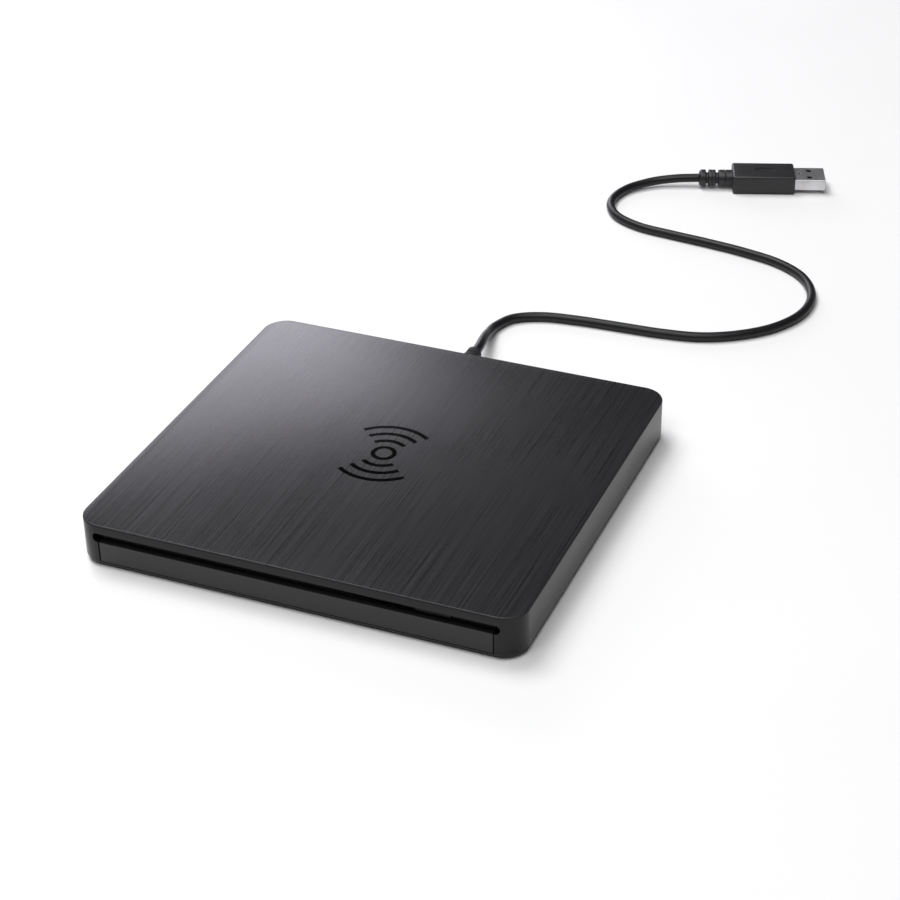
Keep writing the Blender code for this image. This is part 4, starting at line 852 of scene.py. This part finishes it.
def make_turntable():
    """The motor's cup with its seat, the rubber ring on it and the three sprung claws."""
    seat = DISC_SEAT - 0.3
    profile = [(0, HUB_TOP - 0.3), (1.0, HUB_TOP - 0.3), (1.3, HUB_TOP - 0.05),
               *arc((HUB_RADIUS - 0.8, HUB_TOP - 0.6), 0.6, 90, 20, 6),
               (HUB_RADIUS, seat + 0.3), (HUB_RADIUS, seat),
               *arc((TURNTABLE_RADIUS - 0.15, seat - 0.15), 0.15, 90, 0, 4),
               (TURNTABLE_RADIUS, 9.4), (11.3, 8.95), *arc((11.05, 8.75), 0.15, 60, 0, 3),
               (11.2, 6.7), (10.4, 6.7), (10.4, 8.2), (0.8, 8.2), (0.8, 5.2), (0, 5.2)]
    hub = to_object("turntable", lathe(profile, steps=128, turn=TRAVERSE))
    slots = []
    for number in range(1, 4):
        turn = TRAVERSE @ Matrix.Rotation(math.radians(120 * number), 4, "Z")
        slots.append(to_object("slot", rounded_block((3.8, -1.2, DISC_SEAT),
                                                     (9.0, 1.2, 12.5)), turn))
        bm = rounded_block((4.4, -0.9, DISC_SEAT + 0.3), (HUB_RADIUS + 0.4, 0.9,
                                                          HUB_TOP - 0.2))
        for vert in bm.verts:
            if vert.co.x > HUB_RADIUS and vert.co.z > HUB_TOP - 0.5:
                vert.co.z -= 0.3
        claw = to_object(f"claw_{number}_tip", bm, turn)
        soften(claw, 0.15, segments=3)
        finish_piece(claw, LOOKS["white"], f"claw_{number}",
                     [f"clamp_claw_{number}"])
    combine(hub, slots)
    soften(hub, 0.05, segments=2, angle=40)
    finish_piece(hub, LOOKS["bright"], "spindle", ["spindle_hub"])
    inner, outer, round_off = 10.0, TURNTABLE_RADIUS - 0.15, 0.12
    ring = [(inner, seat), (inner, DISC_SEAT - round_off),
            *arc((inner + round_off, DISC_SEAT - round_off), round_off, 180, 90, 3),
            *arc((outer - round_off, DISC_SEAT - round_off), round_off, 90, 0, 3),
            (outer, seat), (inner, seat)]
    grip = to_object("disc_grip", lathe(ring, steps=96, turn=TRAVERSE))
    smooth(grip, 50)
    finish_piece(grip, LOOKS["rubber"], "spindle")


def make_sled():
    """The pickup's casting with its cover plate, the lens carrier's coils and the lens."""
    low, high = SLED_Z
    inner = LENS_X - 7
    casting = to_object("sled_casting", rounded_block((inner, -15.3, low),
                                                      (LENS_X + 4, 15.3, high),
                                                      upright=1.0, segments=4), TRAVERSE)
    nose = rounded_block((inner + 3, -9.5, low), (LENS_X + 9, 9.5, high), upright=2.0,
                         segments=6)
    arm = rounded_block((inner + 0.5, -20.8, low), (inner + 4.5, -13.0, high))
    combine(casting, additions=[to_object("nose", nose, TRAVERSE),
                                to_object("arm", arm, TRAVERSE)])
    cover = ((LENS_X + 6.0, -6.5), (LENS_X + 8.4, 6.5))
    cutters = [to_object("pocket", rounded_block((LENS_X - 5.5, -6.2, 6.8),
                                                 (LENS_X + 5.5, 6.2, high + 1)), TRAVERSE),
               to_object("recess", rounded_block((*cover[0], high - 0.3),
                                                 (*cover[1], high + 1), upright=0.6,
                                                 segments=4), TRAVERSE)]
    for y, z, radius in ((ROD_Y, ROD_Z, ROD_RADIUS), (-ROD_Y, ROD_Z, ROD_RADIUS),
                         (SCREW_AXIS_Y, SCREW_AXIS_Z, LEADSCREW_RADIUS)):
        cutters.append(to_object("bore", cylinder(radius + 0.3, -40, 40, (36, y, z), 32,
                                                  ALONG_X), TRAVERSE))
    combine(casting, cutters)
    soften(casting, 0.2, segments=3, angle=30)
    finish_piece(casting, LOOKS["tray"], "pickup", ["pickup_sled"])
    plate = to_object("sled_plate", rounded_block(
        (cover[0][0] + 0.1, cover[0][1] + 0.1, high - 0.28),
        (cover[1][0] - 0.1, cover[1][1] - 0.1, high - 0.05), upright=0.5, segments=4),
        TRAVERSE)
    soften(plate, 0.04, segments=2)
    finish_piece(plate, LOOKS["sheet"], "pickup")
    carrier = to_object("lens_frame", rounded_block((LENS_X - 4.9, -4.4, 7.2),
                                                    (LENS_X + 4.9, 4.4, 8.9), upright=0.8,
                                                    segments=5), TRAVERSE)
    rim = [(2.3, 8.3), (3.1, 8.3), (3.1, 8.9), *arc((3.0, 8.9), 0.1, 0, 90, 3), (2.3, 9.0)]
    seat = to_object("seat", cylinder(2.3, 8.3, 10.3, (LENS_X, 0), 48), TRAVERSE)
    collar = to_object("collar", lathe(rim + [rim[0]], 64,
                                       TRAVERSE @ Matrix.Translation((LENS_X, 0, 0))))
    combine(carrier, additions=[collar])
    combine(carrier, [seat])
    soften(carrier, 0.12, segments=3, angle=40)
    finish_piece(carrier, LOOKS["tray"], "lens_carrier", ["lens_holder"])
    for word, side in (("a", 1), ("b", -1)):
        near, far = sorted((side * 4.45, side * 5.55))
        coil = to_object(f"lens_coil_{word}", rounded_block(
            (LENS_X - 4.0, near, 7.4), (LENS_X + 4.0, far, 8.6), upright=0.5, segments=5),
            TRAVERSE)
        soften(coil, 0.15, segments=3)
        finish_piece(coil, LOOKS["copper"], "lens_carrier")
    dome = [(0, 9.3), (0.45, 9.28), (0.9, 9.2), (1.3, 9.09), (1.6, 8.98), (1.85, 8.85),
            (2.0, 8.75), (2.0, 8.6), (0, 8.6)]
    lens = to_object("lens", lathe(dome, 64, TRAVERSE @ Matrix.Translation((LENS_X, 0, 0))))
    smooth(lens, 40)
    finish_piece(lens, LOOKS["lens"], "lens_carrier", ["objective_lens"])


def make_leadscrew():
    """A rod with a rolled helical thread, its journals left plain."""
    start, end = LEADSCREW_X
    pitch, depth, sides, step, plain = 1.5, 0.16, 24, 0.15, 1.2
    bm = bmesh.new()
    rings = []
    count = round((end - start) / step)
    for index in range(count + 1):
        along = start + (end - start) * index / count
        cut = depth if start + plain < along < end - plain else 0.0
        ring = []
        for side in range(sides):
            angle = math.tau * side / sides
            wave = 0.5 - 0.5 * math.cos(math.tau * along / pitch - angle)
            radius = LEADSCREW_RADIUS - cut * wave
            ring.append(bm.verts.new((along, SCREW_AXIS_Y + radius * math.cos(angle),
                                      SCREW_AXIS_Z + radius * math.sin(angle))))
        rings.append(ring)
    for first, second in zip(rings, rings[1:]):
        for side in range(sides):
            after = (side + 1) % sides
            bm.faces.new((first[side], first[after], second[after], second[side]))
    bm.faces.new(rings[0])
    bm.faces.new(rings[-1])
    screw = to_object("feed_screw", bm, TRAVERSE)
    smooth(screw, 50)
    finish_piece(screw, LOOKS["sheet"], "leadscrew", ["leadscrew"])


def make_rods_and_motor():
    def turned_along(name, profile, y, z, look, replaced):
        turn = TRAVERSE @ Matrix.Translation((0, y, z)) @ ALONG_X
        item = to_object(name, lathe(profile, 48, turn))
        smooth(item, 40)
        finish_piece(item, LOOKS[look], "tray", replaced)

    start, end = ROD_X
    rod = [(0, end), (ROD_RADIUS - 0.2, end), (ROD_RADIUS, end - 0.2),
           (ROD_RADIUS, start + 0.2), (ROD_RADIUS - 0.2, start), (0, start)]
    for word, side in (("a", 1), ("b", -1)):
        turned_along(f"sled_rod_{word}", rod, side * ROD_Y, ROD_Z, "bright",
                     [f"guide_rod_{word}"])
    start, end = FEED_MOTOR_X
    can, rim = FEED_MOTOR_RADIUS, 0.3
    motor = [(0, end), (0.9, end), (0.9, end - 0.5), (can - rim, end - 0.5),
             *arc((can - rim, end - 0.5 - rim), rim, 90, 0, 4), (can, start + 3.2),
             (can - 0.1, start + 3.1), (can - 0.1, start + 2.9), (can, start + 2.8),
             *arc((can - rim, start + rim), rim, 0, -90, 4), (0, start)]
    turned_along("sled_motor", motor, SCREW_AXIS_Y, SCREW_AXIS_Z, "sheet",
                 ["feed_motor"])


def make_bushes():
    """Waisted rubber mounts, each with the head of its screw sunk in the top."""
    rubber = [(1.1, 7.35), (1.1, 7.55), *arc((2.0, 7.4), 0.2, 90, 0, 4), (2.2, 7.1),
              (1.6, 6.75), (2.2, 6.4), *arc((2.0, 6.1), 0.2, 0, -90, 4), (0, 5.9),
              (0, 7.2), (1.1, 7.2), (1.1, 7.35)]
    head = [(0, 7.25), (0.35, 7.25), (0.35, 7.45), *arc((0.8, 7.35), 0.2, 90, 0, 4),
            (1.0, 7.22), (0, 7.22)]
    for number, (x, y) in enumerate(BUSH_PLACES, 1):
        turn = TRAVERSE @ Matrix.Translation((x, y, 0))
        bush = to_object(f"mount_{number}", lathe(rubber, 48, turn))
        smooth(bush, 40)
        finish_piece(bush, LOOKS["rubber"], "tray", [f"damper_bush_{number}"])
        screw = to_object(f"mount_screw_{number}", lathe(head, 32, turn))
        smooth(screw, 40)
        finish_piece(screw, LOOKS["screw"], "tray")


def make_interior():
    for piece in REFINED:
        refine(*piece)
    make_tray_dish()
    make_turntable()
    make_sled()
    make_leadscrew()
    make_rods_and_motor()
    make_bushes()


# ---- stage -----------------------------------------------
FLOOR_HALF = 4000
SKY_LEVEL = 0.07
SOFTBOXES = (                   # name, turn, rise, distance, size, power, colour
    ("overhead", 185, 70, 1900, 1500, 25, (1, 1, 1)),
    ("key", 62, 62, 1900, 1000, 22, (1, 1, 1)),
    ("lid_glow", 36, 17, 1700, 700, 6.3, (1.0, 0.985, 1.07)),
)


def make_floor():
    """A plain white sheet that reaches past every view."""
    bm = bmesh.new()
    bmesh.ops.create_grid(bm, x_segments=1, y_segments=1, size=FLOOR_HALF)
    floor = to_object("floor", bm)
    look = Look("floor_white", (0.90, 0.90, 0.905), 0.5, Specular_IOR_Level=0.3)
    look.rough(look.spread(look.noise(0.01), 0.3, 0.7, 0.45, 0.55))
    floor.data.materials.append(look.material)


def softbox(name, turn, rise, distance, size, power, colour):
    """A square softbox, placed by its turn from +Y towards -X and its rise, in degrees."""
    data = bpy.data.lights.new(name, "AREA")
    data.energy, data.color = power, colour
    data.size = size * MM
    lamp = link(name, data)
    turn, rise = math.radians(turn), math.radians(rise)
    away = Vector((-math.sin(turn) * math.cos(rise), math.cos(turn) * math.cos(rise),
                   math.sin(rise)))
    lamp.location = away * distance * MM
    lamp.rotation_euler = (-away).to_track_quat("-Z", "Y").to_euler()
    lamp.visible_camera = False


def make_light():
    world = bpy.data.worlds.new("studio")
    bpy.context.scene.world = world
    world.use_nodes = True
    sky = world.node_tree.nodes["Background"]
    sky.inputs["Color"].default_value = (1.0, 1.0, 1.0, 1.0)
    sky.inputs["Strength"].default_value = SKY_LEVEL
    for box in SOFTBOXES:
        softbox(*box)


make_camera()
make_lead()
dress_nodes()
make_case_cover()
make_base()
make_feet()
make_screws()
make_bezel()
make_button()
make_interior()
make_floor()
make_light()
bpy.context.scene.view_settings.view_transform = "Standard"
